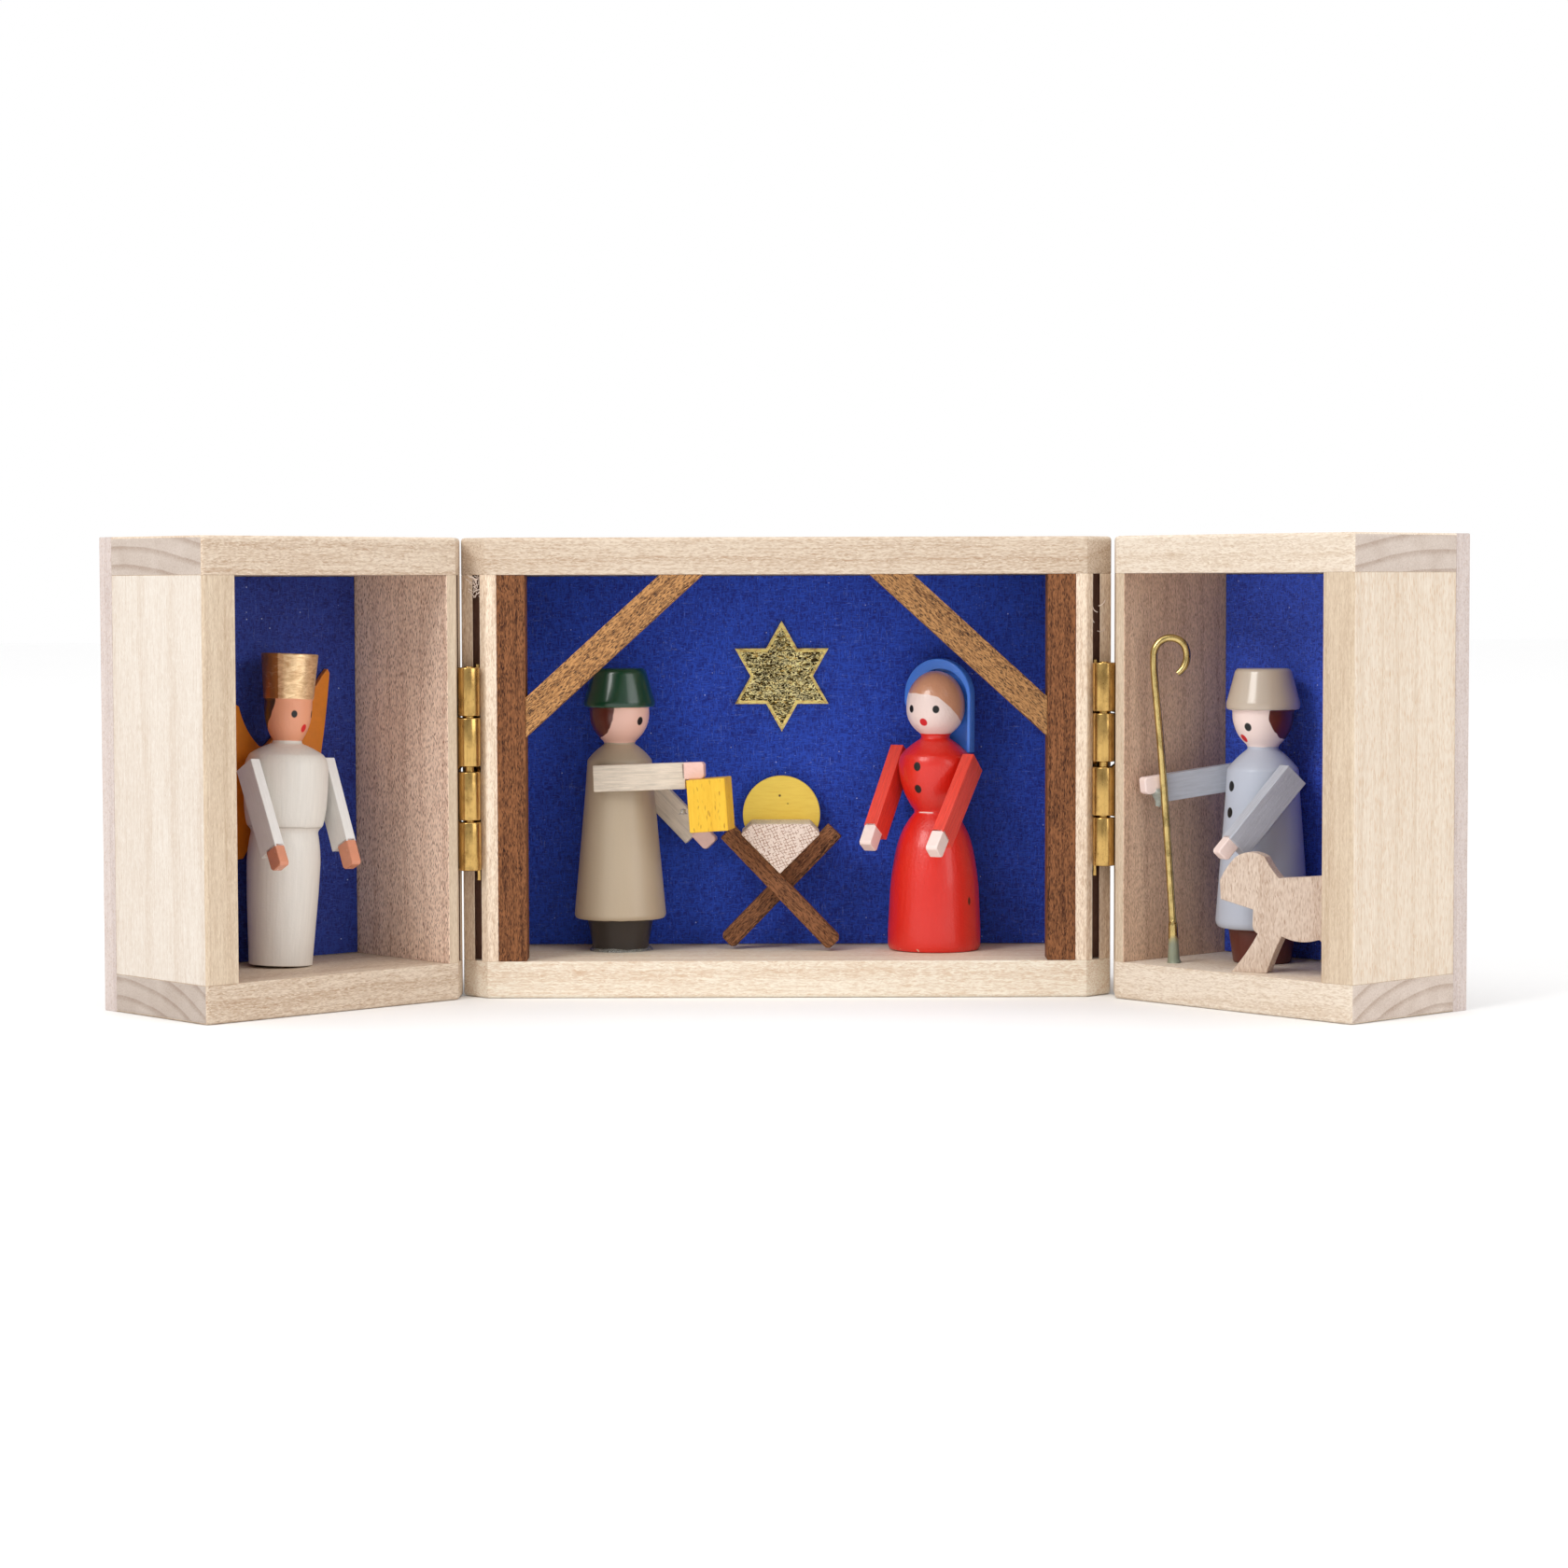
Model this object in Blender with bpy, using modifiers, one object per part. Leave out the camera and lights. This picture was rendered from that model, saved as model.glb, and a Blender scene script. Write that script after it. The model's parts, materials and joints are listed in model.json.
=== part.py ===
"""A pocket nativity shrine: three shallow wooden trays on two brass butt hinges, with turned peg dolls.

The centre tray stands on the table, and the two wing trays swing in front of it until they meet and
close the box. At rest both wings stand open. Lengths are written in millimetres. The origin is the
centre of the centre tray's underside, +X to the right, +Y to the back and +Z up.
"""

import math

import bmesh
import bpy
from mathutils import Euler, Matrix, Vector

MM = 0.001

# The box
WIDTH = 70.0
HEIGHT = 49.5
BOARD = 4.0
CENTER_DEPTH = 18.0
WING_DEPTH = 16.5
BACK = 2.5
PAPER = 0.2
GLUE = 0.1
MEETING_GAP = 0.2
CHAMFER = 2.7
EASE = 0.4
KERF_NEAR = 1.6
KERF_FAR = 2.4
KERF_DEEP = 6.5

# The hinges, one on each side of the centre tray
PIN_INSET = 1.0
RIM_GAP = 0.12
KNUCKLE = 5.2
KNUCKLE_GAPS = (0.2, 0.58, 0.2)
KNUCKLE_RADII = {"center": 1.06, "wing": 1.12}
LEAF_FROM_AXIS = 0.65
LEAF_THICK = 0.45
LEAF_DEEP = 6.06
LEAF_CLEAR = 1.25
BORE = 0.58
PIN = 0.5
PIN_PROUD = 0.11
LEFT_HINGE_FOOT = 13.86
RIGHT_HINGE_FOOT = 14.21

# How far each wing has swung away from lying closed on the centre tray, in degrees
LEFT_OPENING = 136.6
RIGHT_OPENING = 132.06

# The timber frame inside the centre tray
POST_WIDE = 3.25
POST_DEEP = 3.5
BRACE_STOCK = 3.15
BRACE_DEEP = 3.2
BRACE_FOOT = 28.05
BRACE_ANGLE = 43.0

# What stands on the floors
FLOOR = BOARD
ARM_THICK = 1.4
ARM_WIDE = 2.9
SLEEVE = 10.25
HAND_LONG = 2.1
HAND_HIGH = 1.85
HAND_CORNER = 0.4
LANTERN_WIDE = 4.27
LANTERN_TALL = 5.75
STAR_RADIUS = 6.06
HALO_RADIUS = 4.33
CROOK_WIRE = 0.4
TURNED_STEPS = 24

RIM_Y = -(CENTER_DEPTH + BACK) / 2
HINGE_X = WIDTH / 2 - PIN_INSET
HINGE_Y = RIM_Y - RIM_GAP / 2
WING_WIDTH = (WIDTH - MEETING_GAP) / 2
FINISHES = {
    "maple": ((0.78, 0.64, 0.48), 0.55, 0.0),
    "pale_beech": ((0.66, 0.50, 0.38), 0.6, 0.0),
    "stained_wood": ((0.15, 0.065, 0.028), 0.6, 0.0),
    "oiled_wood": ((0.36, 0.19, 0.075), 0.55, 0.0),
    "blue_paper": ((0.02, 0.03, 0.30), 0.8, 0.0),
    "brass": ((0.65, 0.47, 0.18), 0.28, 1.0),
    "gold_foil": ((0.78, 0.62, 0.25), 0.25, 1.0),
    "beige_coat": ((0.38, 0.33, 0.25), 0.45, 0.0),
    "red_dress": ((0.75, 0.03, 0.02), 0.35, 0.0),
    "blue_veil": ((0.06, 0.20, 0.62), 0.4, 0.0),
    "white_gown": ((0.85, 0.84, 0.82), 0.4, 0.0),
    "ochre_wings": ((0.55, 0.26, 0.04), 0.5, 0.0),
    "grey_coat": ((0.40, 0.46, 0.54), 0.4, 0.0),
    "yellow_paint": ((0.85, 0.55, 0.05), 0.45, 0.0),
}


def clear_scene():
    """Remove whatever the file held."""
    for obj in list(bpy.data.objects):
        bpy.data.objects.remove(obj)


def new_collection(name):
    """A collection linked to the scene."""
    collection = bpy.data.collections.new(name)
    bpy.context.scene.collection.children.link(collection)
    return collection


def finish(name):
    """The Principled material of that finish, made once."""
    if name in bpy.data.materials:
        return bpy.data.materials[name]
    colour, roughness, metallic = FINISHES[name]
    material = bpy.data.materials.new(name)
    material.use_nodes = True
    shader = material.node_tree.nodes["Principled BSDF"]
    shader.inputs["Base Color"].default_value = (*colour, 1.0)
    shader.inputs["Roughness"].default_value = roughness
    shader.inputs["Metallic"].default_value = metallic
    material.diffuse_color = (*colour, 1.0)
    return material


def place(obj, parent, at=(0.0, 0.0, 0.0), turn=0.0, axes=None):
    """Put an object at a point in millimetres of its parent's frame, turned about Z or along given axes."""
    rotation = Matrix(axes).transposed() if axes else Euler((0.0, 0.0, math.radians(turn))).to_matrix()
    obj.parent = parent
    obj.matrix_local = Matrix.LocRotScale(Vector(at) * MM, rotation, None)
    return obj


def empty(name, parent, at, turn=0.0):
    """A frame that carries other pieces."""
    obj = bpy.data.objects.new(name, None)
    obj.empty_display_size = 5 * MM
    PIECES.objects.link(obj)
    return place(obj, parent, at, turn)


def piece(name, mesh, finish_name, collection=None):
    """A mesh object in the shrine's collection."""
    obj = bpy.data.objects.new(name, mesh)
    (collection or PIECES).objects.link(obj)
    obj.data.materials.append(finish(finish_name))
    return obj


def mesh_of(name, bm):
    """A mesh from a bmesh, which is freed."""
    mesh = bpy.data.meshes.new(name)
    bmesh.ops.recalc_face_normals(bm, faces=bm.faces)
    bm.to_mesh(mesh)
    bm.free()
    return mesh


def block(name, low, high, finish_name, parent=None, round_by=0.0):
    """A box between two corners, its edges rounded where a radius is given."""
    size = Vector(high) - Vector(low)
    middle = (Vector(high) + Vector(low)) / 2
    bm = bmesh.new()
    bmesh.ops.create_cube(bm, size=1.0)
    bmesh.ops.scale(bm, vec=size * MM, verts=bm.verts)
    obj = piece(name, mesh_of(name, bm), finish_name)
    if round_by:
        rounded(obj, round_by)
    return place(obj, parent, middle)


def rounded(obj, radius, segments=2, angle=30.0):
    """A Bevel on every edge sharper than the angle."""
    modifier = obj.modifiers.new("rounded", "BEVEL")
    modifier.width = radius * MM
    modifier.segments = segments
    modifier.limit_method = "ANGLE"
    modifier.angle_limit = math.radians(angle)
    return obj


def plate_mesh(name, outline, thickness):
    """A flat outline in XY, filled and extruded evenly to both sides of it."""
    curve = bpy.data.curves.new(name, "CURVE")
    curve.dimensions = "2D"
    curve.fill_mode = "BOTH"
    curve.extrude = thickness / 2 * MM
    spline = curve.splines.new("POLY")
    spline.points.add(len(outline) - 1)
    spline.use_cyclic_u = True
    for point, (x, y) in zip(spline.points, outline):
        point.co = (x * MM, y * MM, 0.0, 1.0)
    guide = bpy.data.objects.new(name, curve)
    PIECES.objects.link(guide)
    bpy.context.view_layer.update()
    graph = bpy.context.evaluated_depsgraph_get()
    mesh = bpy.data.meshes.new_from_object(guide.evaluated_get(graph))
    bpy.data.objects.remove(guide)
    bm = bmesh.new()
    bm.from_mesh(mesh)
    bpy.data.meshes.remove(mesh)
    bmesh.ops.remove_doubles(bm, verts=bm.verts, dist=1e-7)
    bmesh.ops.dissolve_limit(bm, angle_limit=math.radians(0.5), verts=bm.verts, edges=bm.edges)
    return mesh_of(name, bm)


def plate(name, outline, thickness, finish_name, parent=None, at=(0.0, 0.0, 0.0), turn=0.0, axes=None):
    """A flat piece cut to an outline."""
    obj = piece(name, plate_mesh(name, outline, thickness), finish_name)
    return place(obj, parent, at, turn, axes)


def upright(name, outline, front, thickness, finish_name, parent=None):
    """A flat piece standing with its outline in XZ and its front face at that depth."""
    axes = ((1, 0, 0), (0, 0, 1), (0, -1, 0))
    return plate(name, outline, thickness, finish_name, parent, (0.0, front + thickness / 2, 0.0), axes=axes)


def near(one, other):
    """Whether two lengths are the same."""
    return abs(one - other) < 0.01


def ease_edges(obj, chosen):
    """Round the edges whose pair of ends satisfies the test, as sandpaper does."""
    bm = bmesh.new()
    bm.from_mesh(obj.data)
    edges = [edge for edge in bm.edges if chosen([vert.co / MM for vert in edge.verts])]
    bmesh.ops.bevel(
        bm, geom=edges, offset=EASE * MM, offset_type="OFFSET", segments=2, profile=0.5, affect="EDGES"
    )
    bm.to_mesh(obj.data)
    bm.free()


def cut(obj, cutter, operation="DIFFERENCE"):
    """Cut an object with a mesh that lies in the same frame."""
    cutter.hide_render = True
    cutter.display_type = "WIRE"
    modifier = obj.modifiers.new(cutter.name, "BOOLEAN")
    modifier.operation = operation
    modifier.object = cutter
    modifier.solver = "EXACT"
    return obj


def rod_mesh(name, radius, low, high, steps=20):
    """An upright cylinder between two heights."""
    bm = bmesh.new()
    bmesh.ops.create_cone(
        bm, cap_ends=True, segments=steps, radius1=radius * MM, radius2=radius * MM, depth=(high - low) * MM
    )
    bmesh.ops.translate(bm, vec=(0.0, 0.0, (high + low) / 2 * MM), verts=bm.verts)
    return mesh_of(name, bm)


def bow(start, end, swell, count=4):
    """The points after start along a shallow arc to end that swells to the left of the way by that much."""
    (x0, y0), (x1, y1) = start, end
    run = math.hypot(x1 - x0, y1 - y0)
    normal = (-(y1 - y0) / run, (x1 - x0) / run)
    points = []
    for step in range(1, count + 1):
        along = step / count
        out = 4 * swell * along * (1 - along)
        points.append((x0 + (x1 - x0) * along + normal[0] * out, y0 + (y1 - y0) * along + normal[1] * out))
    return points


def drawn(*stops):
    """An outline through stops of (x, y) or (x, y, swell), where swell bows the way from the stop before."""
    points = [stops[0][:2]]
    for stop in stops[1:]:
        if len(stop) == 3:
            points += bow(points[-1], stop[:2], stop[2])
        else:
            points.append(stop)
    return points


def turned(name, profile, finish_name, parent, collection=None):
    """A piece turned on the lathe: the profile of (radius, height) runs from the top down."""
    mesh = bpy.data.meshes.new(name)
    verts = [(radius * MM, 0.0, height * MM) for radius, height in profile]
    mesh.from_pydata(verts, [(i, i + 1) for i in range(len(verts) - 1)], [])
    obj = piece(name, mesh, finish_name, collection)
    modifier = obj.modifiers.new("lathe", "SCREW")
    modifier.axis = "Z"
    modifier.steps = TURNED_STEPS
    modifier.render_steps = TURNED_STEPS
    modifier.use_merge_vertices = True
    modifier.merge_threshold = 1e-6
    modifier.use_smooth_shade = True
    return place(obj, parent)


# --- the trays ---


def board_plan(left, right, rim, depth, hinged):
    """A top or bottom board seen from above, with the front corners at the hinges cut off."""
    back = rim + depth
    points = [(left, back)]
    points += [(left, rim + CHAMFER), (left + CHAMFER, rim)] if -1 in hinged else [(left, rim)]
    points += [(right - CHAMFER, rim), (right, rim + CHAMFER)] if 1 in hinged else [(right, rim)]
    return points + [(right, back)]


def side_plan(face, inward, rim, depth, hinged):
    """A side board seen from above: at a hinge it has the cut corner and the saw kerf for the leaf."""
    inner = face + inward * BOARD
    back = rim + depth
    if not hinged:
        return [(inner, back), (inner, rim), (face, rim), (face, back)]
    near = face + inward * KERF_NEAR
    far = face + inward * KERF_FAR
    return [
        (inner, back),
        (inner, rim),
        (face + inward * CHAMFER, rim),
        (far, rim + CHAMFER - KERF_FAR),
        (far, rim + KERF_DEEP),
        (near, rim + KERF_DEEP),
        (near, rim + CHAMFER - KERF_NEAR),
        (face, rim + CHAMFER),
        (face, back),
    ]


def side_board(name, face, inward, rim, depth, hinged, parent):
    """A side board, which stands between the top and bottom boards."""
    tall = HEIGHT - 2 * BOARD - 2 * GLUE
    obj = plate(name, side_plan(face, inward, rim, depth, hinged), tall, "maple")
    if not hinged:
        ease_edges(obj, lambda ends: all(near(co.x, face) and near(co.y, rim) for co in ends))
    return place(obj, parent, (0.0, 0.0, HEIGHT / 2))


def end_board(name, plan, rim, depth, hinged, parent, top):
    """A full-width top or bottom board, its outer edges eased."""
    obj = plate(name, plan, BOARD, "maple")
    outer = BOARD / 2 if top else -BOARD / 2
    corners = [x for side, (x, _) in ((-1, plan[1]), (1, plan[-2])) if side not in hinged]

    def outer_edge(ends):
        """Round the outside face, except where the back panel is glued on, and down a plain front corner."""
        if all(near(co.y, rim + depth) for co in ends):
            return False
        if all(near(co.z, outer) for co in ends):
            return True
        return any(all(near(co.x, x) and near(co.y, rim) for co in ends) for x in corners)

    ease_edges(obj, outer_edge)
    return place(obj, parent, (0.0, 0.0, HEIGHT - BOARD / 2 if top else BOARD / 2))


def tray(prefix, parent, left, right, rim, depth, hinged, side_names):
    """Four boards, a back panel over all of them and the blue paper inside it."""
    plan = board_plan(left, right, rim, depth, hinged)
    end_board(f"{prefix}_top_board", plan, rim, depth, hinged, parent, top=True)
    end_board(f"{prefix}_bottom_board", plan, rim, depth, hinged, parent, top=False)
    side_board(f"{prefix}_{side_names[0]}", left, 1, rim, depth, -1 in hinged, parent)
    side_board(f"{prefix}_{side_names[1]}", right, -1, rim, depth, 1 in hinged, parent)
    back = rim + depth
    panel = block(f"{prefix}_back_panel", (left, back + GLUE, 0.0), (right, back + BACK, HEIGHT), "maple", parent)
    ease_edges(panel, lambda ends: all(near(co.y, (BACK - GLUE) / 2) for co in ends))
    inside = BOARD + GLUE
    low = (left + inside, back - GLUE / 2 - PAPER, inside)
    high = (right - inside, back - GLUE / 2, HEIGHT - inside)
    block(f"{prefix}_blue_paper", low, high, "blue_paper", parent)


# --- the hinges ---


def knuckles(foot):
    """The (low, high) of the four knuckles, from the top one down."""
    spans = []
    top = foot + 4 * KNUCKLE + sum(KNUCKLE_GAPS)
    for gap in (*KNUCKLE_GAPS, 0.0):
        spans.append((top - KNUCKLE, top))
        top -= KNUCKLE + gap
    return spans


def leaf(name, parent, inward, foot, owns, radius):
    """One leaf rolled into its own two knuckles and notched past the other leaf's two."""
    spans = knuckles(foot)
    outline = [(LEAF_DEEP, spans[0][1]), (LEAF_DEEP, foot)]
    for index in (3, 2, 1, 0):
        low, high = spans[index]
        reach = 0.0 if index in owns else LEAF_CLEAR
        outline += [(reach, low), (reach, high)]
    middle = inward * (LEAF_FROM_AXIS + LEAF_THICK / 2)
    obj = plate(name, outline, LEAF_THICK, "brass", parent, (middle, 0.0, 0.0), axes=((0, 1, 0), (0, 0, 1), (1, 0, 0)))
    for index in owns:
        roll = piece(f"{name}_roll_{index}", rod_mesh(name, radius, *spans[index]), "brass", CUTTERS)
        cut(obj, place(roll, parent), "UNION")
    bore = piece(f"{name}_bore", rod_mesh(name, BORE, foot - 1.0, spans[0][1] + 1.0), "brass", CUTTERS)
    return cut(obj, place(bore, parent))


def hinge(side, wing, foot, center_owns):
    """A butt hinge: a leaf in each tray's kerf, round one pin."""
    name = "left" if side < 0 else "right"
    axis = empty(f"{name}_hinge_axis", None, (side * HINGE_X, HINGE_Y, 0.0))
    wing_owns = tuple(index for index in range(4) if index not in center_owns)
    leaf(f"{name}_hinge_center_leaf", axis, -side, foot, center_owns, KNUCKLE_RADII["center"])
    leaf(f"{name}_hinge_wing_leaf", wing, side, foot, wing_owns, KNUCKLE_RADII["wing"])
    top = knuckles(foot)[0][1] + PIN_PROUD
    pin = piece(f"{name}_hinge_pin", rod_mesh("pin", PIN, foot, top, 16), "brass")
    place(pin, axis)


# --- the timber frame, the star and the crib ---


def timber_frame():
    """Two posts and the braces between them and the top board."""
    inner = WIDTH / 2 - BOARD - GLUE
    ceiling = HEIGHT - BOARD - GLUE
    rise = math.tan(math.radians(BRACE_ANGLE))
    for name, side in (("left", -1), ("right", 1)):
        xs = sorted((side * inner, side * (inner - POST_WIDE)))
        low = (xs[0], RIM_Y, FLOOR + GLUE)
        high = (xs[1], RIM_Y + POST_DEEP, ceiling)
        block(f"{name}_post", low, high, "stained_wood", round_by=0.12)
        foot_x = inner - POST_WIDE - GLUE
        upper_foot = BRACE_FOOT + BRACE_STOCK / math.cos(math.radians(BRACE_ANGLE))
        outline = [
            (foot_x, BRACE_FOOT),
            (foot_x, upper_foot),
            (foot_x - (ceiling - upper_foot) / rise, ceiling),
            (foot_x - (ceiling - BRACE_FOOT) / rise, ceiling),
        ]
        outline = [(side * x, z) for x, z in outline]
        upright(f"{name}_brace", outline, RIM_Y, BRACE_DEEP, "oiled_wood")


def star():
    """A six-pointed star with a raised bevelled rim, glued to the blue paper."""
    thickness = 0.7
    inner = STAR_RADIUS / math.sqrt(3)
    outline = []
    for corner in range(12):
        radius = inner if corner % 2 else STAR_RADIUS
        angle = math.radians(90 + 30 * corner)
        outline.append((-0.43 + radius * math.cos(angle), 34.17 + radius * math.sin(angle)))
    front = RIM_Y + CENTER_DEPTH - GLUE / 2 - PAPER - GLUE - thickness
    obj = upright("star", outline, front, thickness, "gold_foil")
    bm = bmesh.new()
    bm.from_mesh(obj.data)
    faces = [face for face in bm.faces if face.normal.z > 0.9]
    bmesh.ops.inset_region(bm, faces=faces, thickness=0.3 * MM, depth=0.3 * MM)
    bmesh.ops.inset_region(bm, faces=faces, thickness=0.25 * MM, depth=-0.2 * MM)
    bm.to_mesh(obj.data)
    bm.free()


def stick(name, start, end, front, deep):
    """A square crib leg from its cut top to its rounded foot."""
    wide = 1.85
    along = Vector(end) - Vector(start)
    angle = math.degrees(math.atan2(along.y, along.x))
    corner = 0.35
    half = wide / 2
    outline = [(0.0, -half), (along.length - corner, -half), (along.length, -half + corner)]
    outline += [(along.length, half - corner), (along.length - corner, half), (0.0, half)]
    turn = Euler((0.0, -math.radians(angle), 0.0)).to_matrix()
    axes = tuple(turn @ Vector(axis) for axis in ((1, 0, 0), (0, 0, 1), (0, -1, 0)))
    at = (start[0], RIM_Y + front + deep / 2, start[1])
    return plate(name, outline, deep, "stained_wood", None, at, axes=axes)


def crib():
    """Two crossed legs, the solid trough that lies on them and the round halo behind it."""
    stick("crib_front_leg", (-6.58, 17.25), (5.25, 4.8), 10.15, 1.9)
    stick("crib_back_leg", (5.36, 17.24), (-6.66, 4.82), 12.15, 1.9)
    middle = -0.66
    outline = [(middle, 12.74), (middle + 4.36, 17.1), (middle + 3.25, 18.22)]
    outline += [(middle - 3.25, 18.22), (middle - 4.36, 17.1)]
    upright("crib_trough", outline, RIM_Y + 8.0, 8.0, "pale_beech")
    bm = bmesh.new()
    radius = HALO_RADIUS * MM
    bmesh.ops.create_cone(bm, cap_ends=True, segments=48, radius1=radius, radius2=radius, depth=0.85 * MM)
    halo = piece("crib_halo", mesh_of("crib_halo", bm), "yellow_paint")
    place(halo, None, (-0.59, RIM_Y + 16.1 + 0.85 / 2, 18.77), axes=((1, 0, 0), (0, 0, 1), (0, -1, 0)))


# --- the dolls ---


def hat_and_head(top, crown, brim, band, chin, full, neck):
    """A flat-topped hat over a round face: each argument is a (radius, height) of the profile."""
    points = [(0.0, top[1]), (top[0], top[1])]
    points += bow(top, crown, -0.15, 2)
    points += [brim, (brim[0] - 0.06, band[1] + 0.05), band]
    points += bow(band, chin, full)
    return points + [neck]


def joseph_profile():
    """Tall hat, long coat flaring to its hem, boots."""
    head = hat_and_head((2.6, 31.19), (3.1, 30.7), (3.77, 27.6), (3.27, 26.9), (1.82, 22.91), 0.58, (1.63, 22.6))
    shoulder = (3.56, 21.11)
    points = head + bow(head[-1], shoulder, 0.12, 3) + [(3.85, 17.2), (5.04, 4.09)]
    points += bow(points[-1], (4.81, 3.37), 0.1, 2)
    return points + [(3.66, 3.3), (3.14, 0.81), (3.14, 0.1), (0.0, 0.1)]


def shepherd_profile():
    """Wide hat, coat and boots."""
    head = hat_and_head((2.66, 31.23), (2.9, 31.0), (3.89, 27.51), (3.2, 26.95), (1.68, 23.13), 0.45, (1.58, 22.73))
    points = head + bow(head[-1], (3.8, 20.64), 0.12, 3) + [(3.94, 18.05), (4.96, 4.57)]
    points += bow(points[-1], (4.64, 3.77), 0.1, 2)
    return points + [(3.58, 3.6), (3.06, 0.1), (0.0, 0.1)]


def mary_profile():
    """Round head, narrow waist and a bell skirt."""
    points = []
    for step in range(6):
        angle = math.radians(18 * step)
        points.append((3.22 * math.sin(angle), 27.11 + 3.71 * math.cos(angle)))
    points += bow(points[-1], (1.75, 23.81), 0.5)
    points += [(1.59, 23.6), (1.59, 23.35)]
    points += bow(points[-1], (3.82, 21.53), 0.12, 3)
    points += bow(points[-1], (4.05, 20.19), 0.1, 2)
    points += bow(points[-1], (2.27, 15.38), 0.38)
    points += [(2.27, 15.12)]
    points += bow(points[-1], (4.21, 11.28), 0.28)
    points += bow(points[-1], (4.92, 6.41), 0.1, 2)
    return points + [(5.13, 1.99), (5.13, 0.48), (4.95, 0.1), (0.0, 0.1)]


def angel_profile():
    """Tall crown, broad chest and a straight gown."""
    points = [(0.0, 33.09), (2.97, 33.09), (2.6, 28.31), (2.52, 28.1), (2.52, 27.3)]
    points += bow(points[-1], (1.62, 24.0), 0.25)
    points += [(1.53, 23.9), (1.57, 23.55)]
    points += bow(points[-1], (3.8, 22.4), 0.08, 2)
    points += bow(points[-1], (4.22, 21.17), 0.1, 2)
    points += [(4.17, 17.4), (4.13, 15.4), (4.03, 14.82), (3.64, 14.42), (3.54, 14.12)]
    points += bow(points[-1], (3.9, 10.8), 0.08, 2)
    return points + [(3.79, 7.45), (3.38, 0.3), (3.38, 0.1), (0.0, 0.1)]


def radius_at(profile, height):
    """The widest that a turned profile is at that height."""
    found = 0.0
    for (r0, z0), (r1, z1) in zip(profile, profile[1:]):
        if min(z0, z1) <= height <= max(z0, z1):
            share = (height - z0) / (z1 - z0) if z1 != z0 else 0.0
            found = max(found, r0 + (r1 - r0) * share)
    return found


def arm_frame(shoulder, swing):
    """The directions along and across an arm that swings forward from hanging down, as (forward, up)."""
    angle = math.radians(swing)
    along = (math.sin(angle), -math.cos(angle))
    across = (math.cos(angle), math.sin(angle))
    return along, across


def beside(profile, shoulder, swing):
    """How far out an arm's inner face lies: just clear of the body wherever the arm passes it."""
    along, across = arm_frame(shoulder, swing)
    reach = 0.0
    for step in range(41):
        for edge in (-0.5, 0.0, 0.5):
            run = step / 40 * SLEEVE
            forward = shoulder[0] + along[0] * run + across[0] * edge * ARM_WIDE
            up = shoulder[1] + along[1] * run + across[1] * edge * ARM_WIDE
            radius = radius_at(profile, up)
            if abs(forward) < radius:
                reach = max(reach, math.sqrt(radius**2 - forward**2))
    return reach + GLUE


def arm(name, stand, profile, side, shoulder, swing, finish_name):
    """A flat sleeve glued to one side of a doll, with a faceted hand at its upper front edge."""
    half = ARM_WIDE / 2
    low = half - HAND_HIGH
    tip = SLEEVE + HAND_LONG
    outline = [(0.0, -half), (SLEEVE, -half), (SLEEVE, low), (tip - HAND_CORNER, low)]
    outline += [(tip, low + HAND_CORNER), (tip, half - HAND_CORNER), (tip - HAND_CORNER, half), (0.0, half)]
    out = beside(profile, shoulder, swing) + ARM_THICK / 2
    along, across = arm_frame(shoulder, swing)
    axes = ((0, -along[0], along[1]), (0, -across[0], across[1]), (-1, 0, 0))
    at = (-side * out, -shoulder[0], shoulder[1])
    return rounded(plate(name, outline, ARM_THICK, finish_name, stand, at, axes=axes), 0.12, 1)


def doll(name, parent, at, turn, profile, finish_name, arms, lean=0.0):
    """A turned body with two arms. Each arm is (side, shoulder, swing), the doll's right side first."""
    base = profile[-2][0]
    lift = base * math.sin(math.radians(abs(lean)))
    stand = empty(f"{name}_stand", parent, (at[0], at[1], FLOOR + lift), turn)
    stand.rotation_euler.y = math.radians(lean)
    turned(f"{name}_body", profile, finish_name, stand)
    for side_name, (side, shoulder, swing) in zip(("right", "left"), arms):
        arm(f"{name}_{side_name}_arm", stand, profile, side, shoulder, swing, finish_name)
    return stand


def joseph():
    """He stands at the left and holds a lantern out over the crib."""
    arms = ((1, (-2.15, 19.02), 92.2), (-1, (0.28, 19.72), 44.4))
    stand = doll("joseph", None, (-18.19, RIM_Y + 12.5), 80.7, joseph_profile(), "beige_coat", arms)
    tilt = math.radians(4.0)
    lantern = block(
        "lantern",
        (-LANTERN_WIDE / 2, -LANTERN_WIDE / 2, -LANTERN_TALL / 2),
        (LANTERN_WIDE / 2, LANTERN_WIDE / 2, LANTERN_TALL / 2),
        "yellow_paint",
        stand,
        0.1,
    )
    place(lantern, stand, (-4.5, -10.72, 16.2))
    lantern.rotation_euler.x = -tilt


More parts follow.
